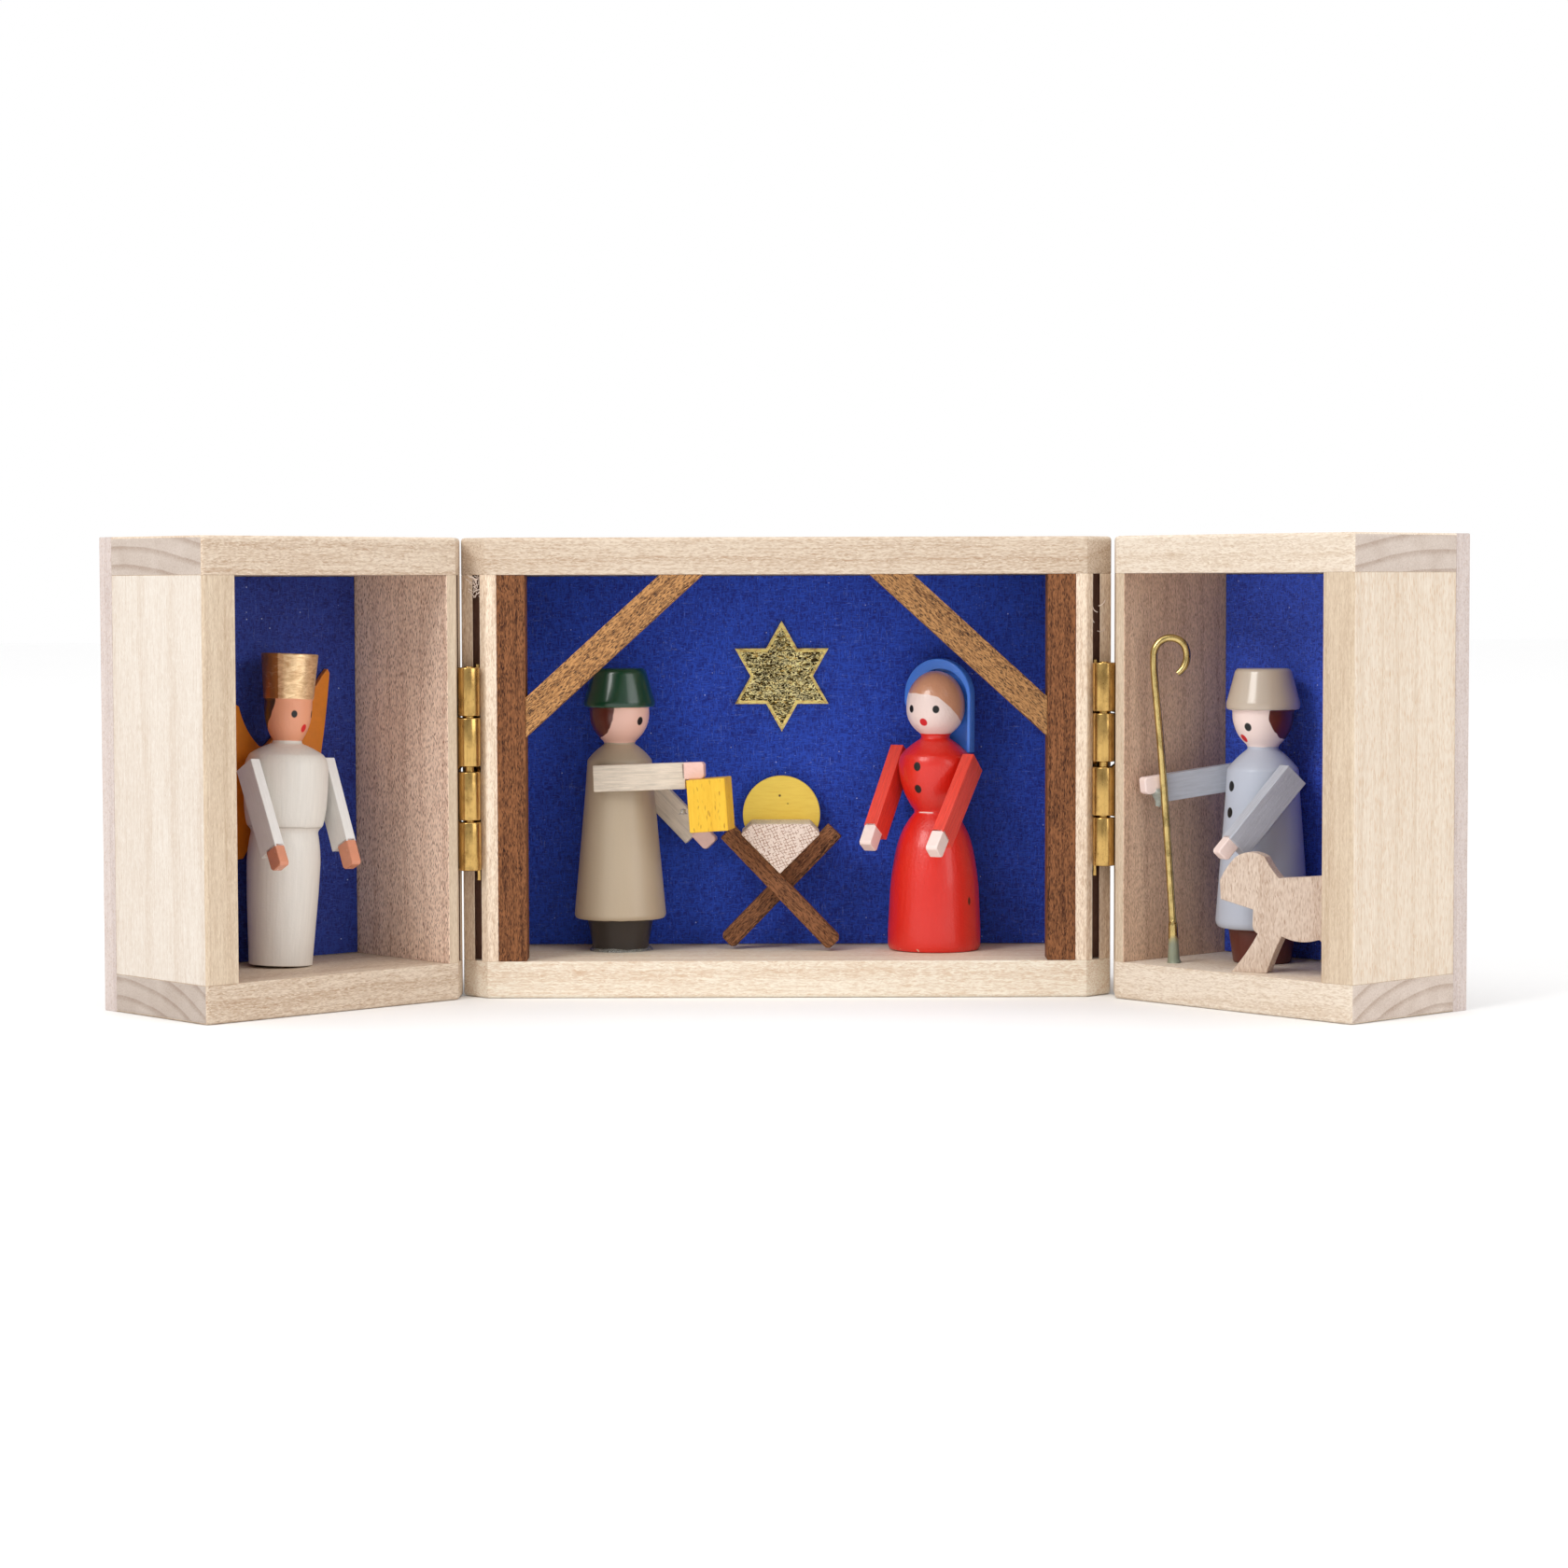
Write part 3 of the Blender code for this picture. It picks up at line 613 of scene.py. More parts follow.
    def piece(
        self,
        name: str,
        place: Matrix,
        body: Body,
        slot: Slot,
        finishes: Sequence[Material],
        smooth: float = 0.0,
        extra: bool = False,
    ) -> None:
        """Put the shape in place as a finished piece, whose object sits at the origin.

        Args:
            name: The solid that it stands for, or an extra piece's own name.
            place: Its frame in millimetres.
            body: The body that it rides on.
            slot: The record's finish; not used.
            finishes: Materials by their number.
            smooth: Edges flatter than this many degrees are shaded round.
            extra: Whether it stands for no solid.
        """
        title = name if extra else f"{name}_looks"
        self.moved(Matrix.Scale(MM, 4) @ place)
        mesh = bpy.data.meshes.new(title)
        self.mesh.to_mesh(mesh)
        self.mesh.free()
        if smooth:
            mesh.shade_smooth()
            mesh.set_sharp_from_angle(angle=math.radians(smooth))
        for finish in finishes:
            mesh.materials.append(finish)
        obj = linked(title, mesh)
        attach(obj, body.value)
        if not extra:
            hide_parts(name)
        LOG.info("%s: %d faces on %s", title, len(mesh.polygons), body.value)


# --- finishes ---


@dataclass(frozen=True)
class Wood:
    """Wood with rings, fibres and small ray flecks. Sizes are in millimetres, with the fibres along the third axis."""

    pale: Colour
    deep: Colour
    fleck: Colour
    heart: Flat = (16.0, -24.0)
    ring: float = 2.7
    rings: float = 0.25
    wander: float = 3.0
    streaks: float = 0.4
    curls: float = 1.0
    flecks: float = 0.5
    fleck_size: Point = (0.2, 0.2, 0.85)
    fleck_share: float = 0.9
    slant: float = 0.0
    rough: float = 0.6
    depth: float = 0.02
    specular: float = 0.3
    glints: float = 0.0
    hatch: float = 0.0

    def toned(self, by: float) -> "Wood":
        """The same wood lighter or darker by that share."""
        pale, deep, fleck = (tuple(min(c * by, 0.96) for c in colour) for colour in (self.pale, self.deep, self.fleck))
        return replace(self, pale=pale, deep=deep, fleck=fleck)

    def on(self, name: str, place: Matrix, grain: Grain = Grain.UPRIGHT, seed: float = 0.0) -> Material:
        """The wood along its fibres.

        Args:
            name: The material's name.
            place: The piece's frame.
            grain: The way of its fibres.
            seed: Picks another stretch of the same tree.

        Returns:
            The material.
        """
        finish, shift, ring = self.started(name, place, grain, seed)
        streak = finish.noise((4.5, 4.5, 0.2), 3.0, 0.65, shift=shift)
        cloud = finish.noise((0.16, 0.16, 0.035), 2.0, shift=shift)
        sway = finish.noise((0.55, 0.55, 0.8), 1.0, shift=shift) * 1.5 + finish.z * self.slant
        across, depth, long = self.fleck_size
        along = finish.x + sway * 0.3, finish.y + sway * 0.3, finish.z
        woven = finish.vector(
            along[0] * (1 / across) + shift[0], along[1] * (1 / depth) + shift[1], along[2] * (1 / long)
        )
        loose = finish.vector(along[0] * (0.8 / across), along[1] * (0.8 / depth) + shift[2], along[2] * (0.7 / long))
        curl = finish.noise(loose, 3.0, 0.6)
        away, chance = finish.cells(woven)
        dash = away.rise(0.52, 0.16) * chance.rise(1.0 - self.fleck_share, 1.25 - self.fleck_share)
        tone = ring * self.rings + (streak - 0.5) * (self.streaks * 1.6) + (cloud - 0.5) * 0.55
        tone = tone + (curl - 0.5) * self.curls
        if self.glints:
            dense = finish.vector(along[0] * (1.2 / across) + 7.0, along[1] * (1.2 / depth), along[2] * (1.1 / long))
            away, chance = finish.cells(dense)
            tone = tone - away.rise(0.5, 0.2) * chance.rise(0.4, 0.8) * self.glints
        colour = finish.mix(tone + 0.35, self.pale, self.deep)
        colour = finish.mix(dash * self.flecks * (curl + 0.5), colour, self.fleck)
        relief = streak * 0.6 + curl * 0.5 - dash * 0.5 + 0.3
        rough = self.rough + (streak - 0.5) * 0.2
        return finish.done(colour, rough, relief, self.depth, specular=self.specular)

    def cut(self, name: str, place: Matrix, grain: Grain = Grain.UPRIGHT, seed: float = 0.0) -> Material:
        """The same wood, from what on() takes, sawn across its fibres: darker, its rings fine lines."""
        finish, shift, ring = self.started(name, place, grain, seed)
        pores = finish.specks(finish.scaled((5.0, 5.0, 1.2), shift), 0.7, 0.25, 0.2)
        fibre = finish.noise((6.5, 6.5, 2.0), 3.0, 0.7, shift=shift)
        cloud = finish.noise((0.4, 0.4, 0.1), 2.0, shift=shift)
        rays, rows = (finish.lines(way, 0.33, 0.5) for way in ((0.42, 0.9), (0.94, -0.3)))
        hatch = (rays.most(rows) - 0.5) * self.hatch
        tone = ring * self.rings + (fibre - 0.5) * 0.8 + (cloud - 0.5) * 0.5 + pores * 0.12 + hatch + 0.36
        colour = finish.mix(tone, self.pale, self.deep)
        relief = fibre * 0.6 - pores * 0.4 - hatch * 0.3 + 0.4
        return finish.done(colour, self.rough + 0.08, relief, self.depth * 1.2, specular=self.specular)

    def started(self, name: str, place: Matrix, grain: Grain, seed: float) -> tuple[Finish, Point, Value]:
        """The material, the way to its stretch of the tree, and the late wood of each year's ring as a share."""
        finish = Finish(name, place @ GRAIN_TURN[grain])
        shift = (seed * 3.1, seed * 1.7, seed * 9.3)
        wander = finish.noise((0.1, 0.1, 0.018), 2.0, shift=shift) * self.wander
        x, y = finish.x - self.heart[0], finish.y - self.heart[1]
        away = (x * x + y * y) ** 0.5 + wander + shift[0]
        within = (away / self.ring).math("FRACT")
        return finish, shift, within.rise(0.55, 0.93) * within.rise(1.0, 0.93)


MAPLE = Wood(
    tint(240, 222, 200), tint(198, 168, 140), tint(172, 138, 110), streaks=0.9, curls=2.2, flecks=0.36,
    fleck_size=(0.13, 0.13, 0.62), glints=0.9,
)
CREAM = replace(MAPLE, pale=tint(239, 229, 211), deep=tint(212, 184, 156), fleck=tint(190, 156, 126), flecks=0.22)
PALE = replace(MAPLE, pale=tint(233, 220, 203), deep=tint(204, 182, 158), fleck=tint(180, 150, 124), flecks=0.36)
CALM = replace(MAPLE, pale=tint(236, 227, 216), deep=tint(214, 196, 178), curls=1.1, flecks=0.12, glints=0.4)
MAPLE_ENDS = Wood(tint(209, 197, 187), tint(158, 137, 122), tint(150, 116, 90), ring=1.9, rings=0.38, wander=0.9)
RIM = replace(CALM, pale=tint(236, 216, 190), deep=tint(204, 178, 150), curls=1.4, flecks=0.16)
FLECKED = replace(
    CALM, pale=tint(236, 222, 204), deep=tint(214, 192, 168), fleck=tint(206, 160, 114), flecks=0.4,
    fleck_size=(0.17, 0.17, 1.1),
)
BACK = replace(CALM, pale=tint(216, 203, 197), deep=tint(190, 174, 168), flecks=0.35, fleck_size=(0.2, 0.2, 0.3))
INNER = Wood(
    tint(255, 228, 206), tint(204, 168, 146), tint(124, 82, 62), fleck_size=(0.13, 0.13, 0.6), fleck_share=1.0,
    flecks=0.85, streaks=0.5, curls=2.4, slant=0.12, glints=1.5,
)
# A darker copy of INNER, as painted shade on the right wing's inner walls
INNER_PAINTED_SHADE = replace(
    INNER, pale=tint(236, 202, 172), deep=tint(186, 150, 126), fleck=tint(124, 88, 68), fleck_size=(0.11, 0.11, 0.5),
    flecks=0.5,
)
TORN = Wood(tint(236, 218, 204), tint(206, 184, 166), tint(180, 150, 130), flecks=0.1)
BEECH = Wood(
    tint(240, 220, 202), tint(206, 178, 156), tint(166, 126, 100), fleck_size=(0.14, 0.16, 0.6), flecks=0.55, curls=1.5,
    glints=0.4,
)
STAINED = Wood(
    tint(146, 94, 58), tint(62, 30, 15), tint(30, 12, 6), ring=1.4, rings=0.25, streaks=0.9, curls=2.2, flecks=0.75,
    fleck_size=(0.13, 0.13, 0.6), fleck_share=0.9, rough=0.55, depth=0.05, specular=0.2, glints=1.2,
)
OILED = Wood(
    tint(214, 156, 96), tint(96, 54, 24), tint(42, 20, 8), ring=1.6, rings=0.25, streaks=0.6, curls=2.4, flecks=0.85,
    fleck_size=(0.14, 0.14, 0.55), fleck_share=1.0, rough=0.45, depth=0.06, glints=2.0,
)


@dataclass(frozen=True)
class Sawn:
    """The rough dark inside of a saw cut."""

    colour: Colour = tint(150, 104, 80)

    def on(self, name: str, place: Matrix) -> Material:
        """The material in a piece's frame."""
        finish = Finish(name, place)
        score = finish.noise((3.0, 9.0, 0.8), 3.0, 0.7)
        colour = finish.mix(score, self.colour, tint(96, 62, 46))
        return finish.done(colour, 0.8, score, 0.05)


@dataclass(frozen=True)
class Paper:
    """Deep blue paper with a fine weave, scratches, a few rubbed places and dust."""

    blue: Colour = tint(48, 84, 204)
    shade: Colour = tint(30, 42, 134)
    dust: Colour = tint(134, 154, 226)

    def on(self, name: str, place: Matrix, seed: float = 0.0) -> Material:
        """The material in a tray's frame, with its own marks."""
        finish = Finish(name, place)
        shift = (seed * 5.3, 0.0, seed * 7.9)
        weft = finish.noise((7.5, 1.0, 1.9), 2.0, 0.6, shift=shift)
        warp = finish.noise((1.9, 1.0, 7.5), 2.0, 0.6, shift=shift)
        weave = weft.most(warp)
        cloud = finish.noise((0.11, 0.11, 0.11), 3.0, 0.6, shift=shift)
        colour = finish.mix((weave - 0.4) * 4.0 + (cloud - 0.5) * 0.8, self.shade, self.blue)
        upright = finish.noise((6.0, 1.0, 0.7), 3.0, 0.65, shift=shift).rise(0.6, 0.76)
        level = finish.noise((0.7, 1.0, 6.0), 3.0, 0.65, shift=shift).rise(0.6, 0.76)
        patches = finish.noise((0.22, 0.2, 0.22), 2.0, shift=shift).rise(0.42, 0.66)
        scratches = upright.most(level) * (patches * 0.4 + 0.14)
        specks = finish.specks(finish.scaled((1.0, 0.2, 1.0), shift), 0.2, 0.04, 0.06)
        grit = finish.specks(finish.scaled((3.0, 0.2, 3.0), shift), 0.22, 0.1, 0.14)
        colour = finish.mix(scratches.most(grit * 0.4), colour, self.dust)
        colour = finish.mix(specks * 0.75, colour, tint(190, 204, 244))
        return finish.done(colour, 0.7 + (weave - 0.5) * 0.2, weave, 0.03, specular=0.2)


@dataclass(frozen=True)
class Brass:
    """Rolled or drawn brass, with faint scratches and a little tarnish."""

    bright: Colour = tint(206, 168, 100)
    dull: Colour = tint(104, 74, 36)
    scratch: Point = (4.0, 4.0, 0.35)
    verdigris: float = 0.0
    depth: float = 0.004

    def on(self, name: str, place: Matrix) -> Material:
        """The material in a piece's frame."""
        finish = Finish(name, place)
        scored = finish.noise(self.scratch, 3.0, 0.7)
        stain = finish.noise((0.8, 0.8, 0.5), 3.0, 0.65)
        pits = finish.specks(finish.scaled((4.0, 4.0, 3.0)), 0.35, 0.12, 0.2)
        colour = finish.mix(stain.rise(0.4, 0.72) * 0.55 + (scored - 0.5) * 0.9 + pits * 0.35, self.bright, self.dull)
        metallic: Number = 1.0
        rough = 0.17 + scored * 0.1 + stain.rise(0.5, 0.8) * 0.1
        if self.verdigris:
            crust = (finish.z + stain * 1.6 - 0.8).rise(self.verdigris, self.verdigris - 1.2)
            colour = finish.mix(crust * 0.85, colour, tint(126, 140, 128))
            metallic = 1.0 - crust * 0.8
            rough = rough + crust * 0.2
        return finish.done(colour, rough, scored * 0.7 + stain * 0.3, self.depth, metallic=metallic)


@dataclass(frozen=True)
class Foil:
    """Crinkled gold foil pressed over card, lit by painted highlights, painted shade and painted glints that glow."""

    # light is the painted highlight on the crease ridges, dark the painted shade and reflection in the mottles
    light: Colour = tint(255, 246, 190)
    gold: Colour = tint(214, 176, 92)
    dark: Colour = tint(36, 28, 8)

    def on(self, name: str, place: Matrix, radius: float) -> Material:
        """The material in the star's frame, smooth on the rim outside that radius."""
        finish = Finish(name, place)
        creases = finish.noise((1.5, 0.6, 2.6), 3.0, 0.6, 1.2)
        ridge = abs(creases - 0.5).rise(0.07, 0.015)
        hollow = finish.noise((1.5, 0.6, 2.4), 4.0, 0.7, 0.8, shift=(4.0, 0.0, 2.0))
        away = (finish.x * finish.x + finish.z * finish.z) ** 0.5
        around = finish.x.math("ARCTAN2", finish.z) * (3 / math.pi)
        point = abs(around - around.math("ROUND"))
        swing = point * (math.pi / 3)
        edge = away * (swing.math("SINE") * math.sqrt(3) + swing.math("COSINE")) / radius
        rim = edge.rise(0.875, 0.915)
        # Painted shade and reflection in the dark mottles, painted highlight on the light crease ridges
        colour = finish.mix(hollow.rise(0.34, 0.5) * 0.97, self.gold, self.dark)
        colour = finish.mix(ridge * 0.95, colour, self.light)
        # Painted highlight: the rim's brighter colour
        rim_highlight = finish.mix(hollow.rise(0.5, 0.66) * 0.5, tint(255, 228, 140), tint(186, 130, 50))
        colour = finish.mix(rim, colour, rim_highlight)
        # Painted glints on the ridges and the rim, also given off as emission
        painted_glint = (ridge * hollow.rise(0.62, 0.42)).most(rim * hollow.rise(0.6, 0.46) * 0.6)
        glow = finish.mix(painted_glint, (0.0, 0.0, 0.0, 1.0), tint(160, 144, 84))
        relief = ridge * 0.4 + hollow * 0.6
        metallic = (1.0 - ridge).least(1.0 - rim) * 0.8
        return finish.done(colour, 0.3 + hollow * 0.1, relief, 0.2, metallic=metallic, glow=glow)


@dataclass(frozen=True)
class Glue:
    """Dried clear glue."""

    colour: Colour = tint(205, 205, 196)
    alpha: float = 0.5

    def on(self, name: str, place: Matrix) -> Material:
        """The material in a piece's frame."""
        finish = Finish(name, place)
        skin = finish.noise((2.0, 2.0, 2.0), 3.0, 0.6)
        colour = finish.mix(skin, self.colour, tint(120, 116, 108))
        return finish.done(colour, 0.08 + skin * 0.1, skin, 0.1, coat=0.6, alpha=self.alpha)


@dataclass(frozen=True)
class Paint:
    """One coat of paint: its colour, how much it shines and how far the brush shows."""

    colour: Colour
    rough: float = 0.4
    coat: float = 0.0
    brush: float = 0.25
    shade: float = 0.82

    def on(self, name: str, place: Matrix, along: Point = (0.35, 5.0, 5.0)) -> Material:
        """The paint all over a piece.

        Args:
            name: The material's name.
            place: The piece's frame.
            along: How fine the strokes are along each axis, in strokes to the millimetre.

        Returns:
            The material.
        """
        finish = Finish(name, place)
        stroke = finish.noise(along, 3.0, 0.65)
        cloud = finish.noise((0.5, 0.5, 0.5), 2.0)
        dark = tuple(c * self.shade for c in self.colour)
        colour = finish.mix((stroke - 0.5) * (3.0 * self.brush) + (cloud - 0.5) * 0.5 + 0.3, self.colour, dark)
        rough = self.rough + (stroke - 0.5) * 0.2
        pimples = finish.noise((2.4, 4.2, 4.2), 2.0, 0.5)
        return finish.done(colour, rough, stroke * 0.6 + pimples * 0.5, 0.07, coat=self.coat)


class Coats:
    """Paints laid over one another on a turned figure, each where its mask says."""

    def __init__(self, finish: Finish, profile: Outline, strokes: Flat, first: Paint) -> None:
        """Start with the paint that covers the whole piece.

        Args:
            finish: The material.
            profile: The figure's turned outline.
            strokes: How strongly the brush shows round the piece and up it.
            first: That paint.
        """
        self.finish = finish
        self.profile = profile
        self.strokes = strokes
        self.turn = finish.x.math("ARCTAN2", finish.y * -1.0) * (180 / math.pi)
        ring = finish.vector(self.turn * 0.012, finish.z * 4.5, 0.0)
        self.rings = finish.noise(ring, 3.0, 0.6)
        self.drag = finish.noise((3.2, 3.2, 0.16), 3.0, 0.6)
        waver = finish.noise((0.9, 0.9, 0.9), 1.0)
        self.height = finish.z + (waver - 0.5) * 0.16
        self.colour: Any = self.brushed(first)
        self.rough: Number = first.rough
        self.coat: Number = first.coat
        self.metallic: Number = 0.0

    def brushed(self, paint: Paint) -> Socket:
        """The paint's colour with its strokes."""
        dark = tuple(c * paint.shade for c in paint.colour)
        level, upright = self.strokes
        strokes = (self.rings - 0.5) * (1.6 * paint.brush * level) + (self.drag - 0.5) * (1.8 * paint.brush * upright)
        return self.finish.mix(strokes + 0.3, paint.colour, dark)

    def over(self, mask: Value, paint: Paint) -> None:
        """Lay one more paint over those below."""
        self.colour = self.finish.mix(mask, self.colour, self.brushed(paint))
        self.rough = self.blend(self.rough, paint.rough, mask)
        self.coat = self.blend(self.coat, paint.coat, mask)
        self.metallic = self.blend(self.metallic, 0.0, mask)

    @staticmethod
    def blend(under: Number, over: float, mask: Value) -> Number:
        """One number laid over another."""
        if under == over:
            return under
        return mask * (over - under) + under

    def wrinkled(self, mask: Value, light: Colour, dark: Colour) -> None:
        """Lay wrinkled gold leaf over the paints below, darker down one side as a painted reflection of the orange
        wings.
        """
        finish = self.finish
        round_ = self.turn * 0.028
        folds = finish.noise(finish.vector(round_ + finish.z * 0.25, finish.z * 1.5 - round_ * 0.4), 4.0, 0.6, 1.4)
        fine = finish.noise(finish.vector(round_ * 2.5, finish.z * 5.0), 3.0, 0.6, 0.8)
        # Painted reflection: the leaf goes darker on the side turned past about 60 degrees, for the orange wings beside
        # it
        tone = (folds - 0.5) * 1.8 + (fine - 0.5) * 0.8 + 0.3 + (self.turn + 58.0).rise(0.0, -4.0) * 0.8
        self.colour = finish.mix(mask, self.colour, finish.mix(tone, light, dark))
        self.rough = self.blend(self.rough, 0.34, mask)
        self.coat = self.blend(self.coat, 0.0, mask)
        self.metallic = self.blend(self.metallic, 0.7, mask)
        self.rings = self.rings + mask * (folds * 2.0 + fine - 1.5)

    def hair(
        self, stops: Outline, low: float, paint: Paint, chin: float = 23.0, tall: float = 4.0, front: float = 0.0
    ) -> None:
        """Lay hair behind a line round the head.

        Args:
            stops: The line as (share of the way up, share of half a turn).
            low: Where the hair ends below.
            paint: Its paint.
            chin: Where the line starts.
            tall: How far up it goes.
            front: Which way the face looks, in degrees.
        """
        line = self.finish.ramp((self.height - chin) / tall, stops)
        behind = (abs(self.turn - front) / 180.0 - line).rise(-0.008, 0.008)
        self.over(behind * self.height.rise(low, low + 0.1), paint)

    def dot(self, turn: float, height: float, radius: float, paint: Paint, tall: float = 1.2) -> None:
        """A dab on the turned surface at degrees round from the front and at a height."""
        away, angle = radius_at(self.profile, height), math.radians(turn)
        middle = (away * math.sin(angle), -away * math.cos(angle), height)
        self.over(self.finish.spot(middle, radius, tall), paint)

    def eyes(self, turn: float, height: float, radius: float, tall: float, front: float = 0.0) -> None:
        """Two black dabs, each that many degrees from the front."""
        for way in (front - turn, front + turn):
            self.dot(way, height, radius, BLACK, tall)

    def done(self, depth: float = 0.02) -> Material:
        """The finished material."""
        rough = self.rough
        if isinstance(rough, Value):
            rough = rough + (self.rings - 0.5) * (0.8 * self.strokes[0])
        pimples = self.finish.noise((3.6, 3.6, 3.6), 2.0, 0.5)
        relief = self.rings * (0.35 * self.strokes[0]) + self.drag * (0.4 * self.strokes[1]) + pimples * 0.3
        return self.finish.done(self.colour, rough, relief, depth, self.metallic, self.coat, 0.14)


SKIN = Paint(tint(246, 198, 180), 0.38, 0.1, brush=0.1, shade=0.9)
PALE_SKIN = Paint(tint(247, 225, 218), 0.38, 0.1, brush=0.1, shade=0.9)
BLACK = Paint(tint(10, 9, 9), 0.5, 0.0, brush=0.0)
LIPS = Paint(tint(216, 20, 30), 0.45, 0.0, brush=0.0)
BARE = Paint(tint(222, 196, 166), 0.6, brush=0.3)


# --- the trays ---


@dataclass(frozen=True)
class Boards:
    """The sizes that all three trays share, in millimetres."""

    height: float = 49.5
    board: float = 4.0
    back: float = 2.5
    paper: float = 0.2
    glue: float = 0.1
    chamfer: float = 2.8
    ease: float = 0.4
    kerf_near: float = 1.35
    kerf_far: float = 2.13
    kerf_deep: float = 2.9


@dataclass(frozen=True)
class Stock:
    """What a top or bottom board is sawn from: its wood, and the same wood seen on its ends."""

    wood: Wood = MAPLE
    ends: Wood = MAPLE_ENDS

    def on(self, name: str, place: Matrix, grain: Grain, seed: float) -> list[Material]:
        """Both, for a piece that is dressed with the wood as 0 and its ends as 1."""
        return [self.wood.on(f"{name}_wood", place, grain, seed), self.ends.cut(f"{name}_ends", place, grain, seed)]


def flush(ends: list[Vector], axis: int, value: float) -> bool:
    """Whether both of an edge's ends lie at that value of an axis."""
    return all(abs(end[axis] - value) < 0.01 for end in ends)


@dataclass
class Tray:
    """Four boards, a back panel and the blue paper in it."""

    name: str
    body: Body
    place: Matrix
    left: float
    right: float
    rim: float
    depth: float
    hinged: tuple[int, ...]
    sides: tuple[str, str]
    seed: float
    top: Stock = Stock()
    bottom: Stock = Stock()
    side: Wood = CALM
    front: Wood = MAPLE
    wall: Wood = INNER
    paper: Paper = Paper()
    sizes: Boards = Boards()

    @property
    def rear(self) -> float:
        """Where the boards end and the back panel starts."""
        return self.rim + self.depth

    def plan(self) -> Outline:
        """A top or bottom board seen from above."""
        left, right, rim, cut = self.left, self.right, self.rim, self.sizes.chamfer
        points = [(left, self.rear)]
        points += [(left, rim + cut), (left + cut, rim)] if -1 in self.hinged else [(left, rim)]
        points += [(right - cut, rim), (right, rim + cut)] if 1 in self.hinged else [(right, rim)]
        return points + [(right, self.rear)]

    def side_plan(self, face: float, inward: int, hinged: bool) -> Outline:
        """A side board seen from above, at a hinge with its cut corner and saw kerf."""
        size, rim = self.sizes, self.rim
        inner = face + inward * size.board
        if not hinged:
            return [(inner, self.rear), (inner, rim), (face, rim), (face, self.rear)]
        near, far = face + inward * size.kerf_near, face + inward * size.kerf_far
        return [
            (inner, self.rear),
            (inner, rim),
            (face + inward * size.chamfer, rim),
            (far, rim + size.chamfer - size.kerf_far),
            (far, rim + size.kerf_deep),
            (near, rim + size.kerf_deep),
            (near, rim + size.chamfer - size.kerf_near),
            (face, rim + size.chamfer),
            (face, self.rear),
        ]

    def end_board(self, label: str, top: bool) -> None:
        """The top or bottom board, whose fibres run from side to side."""
        size = self.sizes
        low = size.height - size.board if top else 0.0
        outer = size.height if top else 0.0
        corners = [x for side, x in ((-1, self.left), (1, self.right)) if side not in self.hinged]

        def weight(ends: list[Vector]) -> float:
            """Round the outside well and the inside hardly."""
            if flush(ends, 1, self.rear):
                return 0.15
            plain = flush(ends, 1, self.rim) and any(flush(ends, 0, x) for x in corners)
            return 1.0 if plain or flush(ends, 2, outer) else 0.2

        shape = Shape.plate(self.plan(), low, low + size.board).eased(size.ease, weight)
        shape.dressed(lambda middle, normal: int(abs(normal.x) > 0.8))
        name = f"{self.name}_{label}"
        stock, seed = (self.top, self.seed + 1.0) if top else (self.bottom, self.seed + 2.0)
        shape.piece(name, self.place, self.body, Slot.MAPLE, stock.on(name, self.place, Grain.LENGTHWISE, seed))

    def side_board(self, label: str, face: float, inward: int, hinged: bool) -> None:
        """A side board between the top and bottom boards, whose fibres stand upright."""
        size = self.sizes
        near, far = sorted((face + inward * size.kerf_near, face + inward * size.kerf_far))

        def weight(ends: list[Vector]) -> float:
            """Round a plain front corner well, the rims a little and the joints hardly."""
            if any(abs(one - other) > 0.01 for one, other in zip(ends[0][:2], ends[1][:2])):
                return 0.12
            if not hinged and flush(ends, 0, face) and flush(ends, 1, self.rim):
                return 1.0
            return 0.1 if near - 0.01 < ends[0].x < far + 0.01 else 0.25

        def rule(middle: Vector, normal: Vector) -> int:
            """Sawn wood in the kerf, and its own face of the wood for the wall inside, the outside and the rim."""
            if hinged and near - 0.02 < middle.x < far + 0.02 and middle.y < self.rim + size.kerf_deep + 0.05:
                return 1
            if normal.x * inward > 0.7:
                return 2
            return 3 if normal.x * inward < -0.8 else 0

        plan = self.side_plan(face, inward, hinged)
        shape = Shape.plate(plan, size.board, size.height - size.board).eased(size.ease, weight).dressed(rule)
        name = f"{self.name}_{label}"
        seed = self.seed + face * 0.1
        finishes = [self.front.on(f"{name}_wood", self.place, seed=seed), Sawn().on(f"{name}_kerf", self.place)]
        for face_name, wood in (("wall", self.wall), ("outside", self.side)):
            finishes.append(wood.on(f"{name}_{face_name}", self.place, seed=seed))
        shape.piece(name, self.place, self.body, Slot.MAPLE, finishes)

    def back_panel(self) -> None:
        """The panel over the whole back."""
        size = self.sizes
        rear = self.rear + size.back

        def weight(ends: list[Vector]) -> float:
            """Round the back edges well and the joint hardly."""
            return 1.0 if flush(ends, 1, rear) else 0.15

        shape = Shape.block((self.left, self.rear, 0.0), (self.right, rear, size.height)).eased(size.ease, weight)
        shape.dressed(lambda middle, normal: int(abs(normal.z) > 0.5))
        name = f"{self.name}_back_panel"
        finishes = Stock(BACK).on(name, self.place, Grain.UPRIGHT, self.seed + 5.0)
        shape.piece(name, self.place, self.body, Slot.MAPLE, finishes)

    def blue_paper(self) -> None:
        """The paper glued inside the back, cut a hair short of the boards."""
        size = self.sizes
        inside = size.board + size.glue
        front = self.rear - size.glue / 2 - size.paper
        low = (self.left + inside, front, inside)
        high = (self.right - inside, self.rear, size.height - inside)
        name = f"{self.name}_blue_paper"
        shape = Shape.block(low, high).eased(0.04, segments=2)
        finishes = [self.paper.on(f"{name}_paper", self.place, self.seed)]
        shape.piece(name, self.place, self.body, Slot.BLUE_PAPER, finishes)

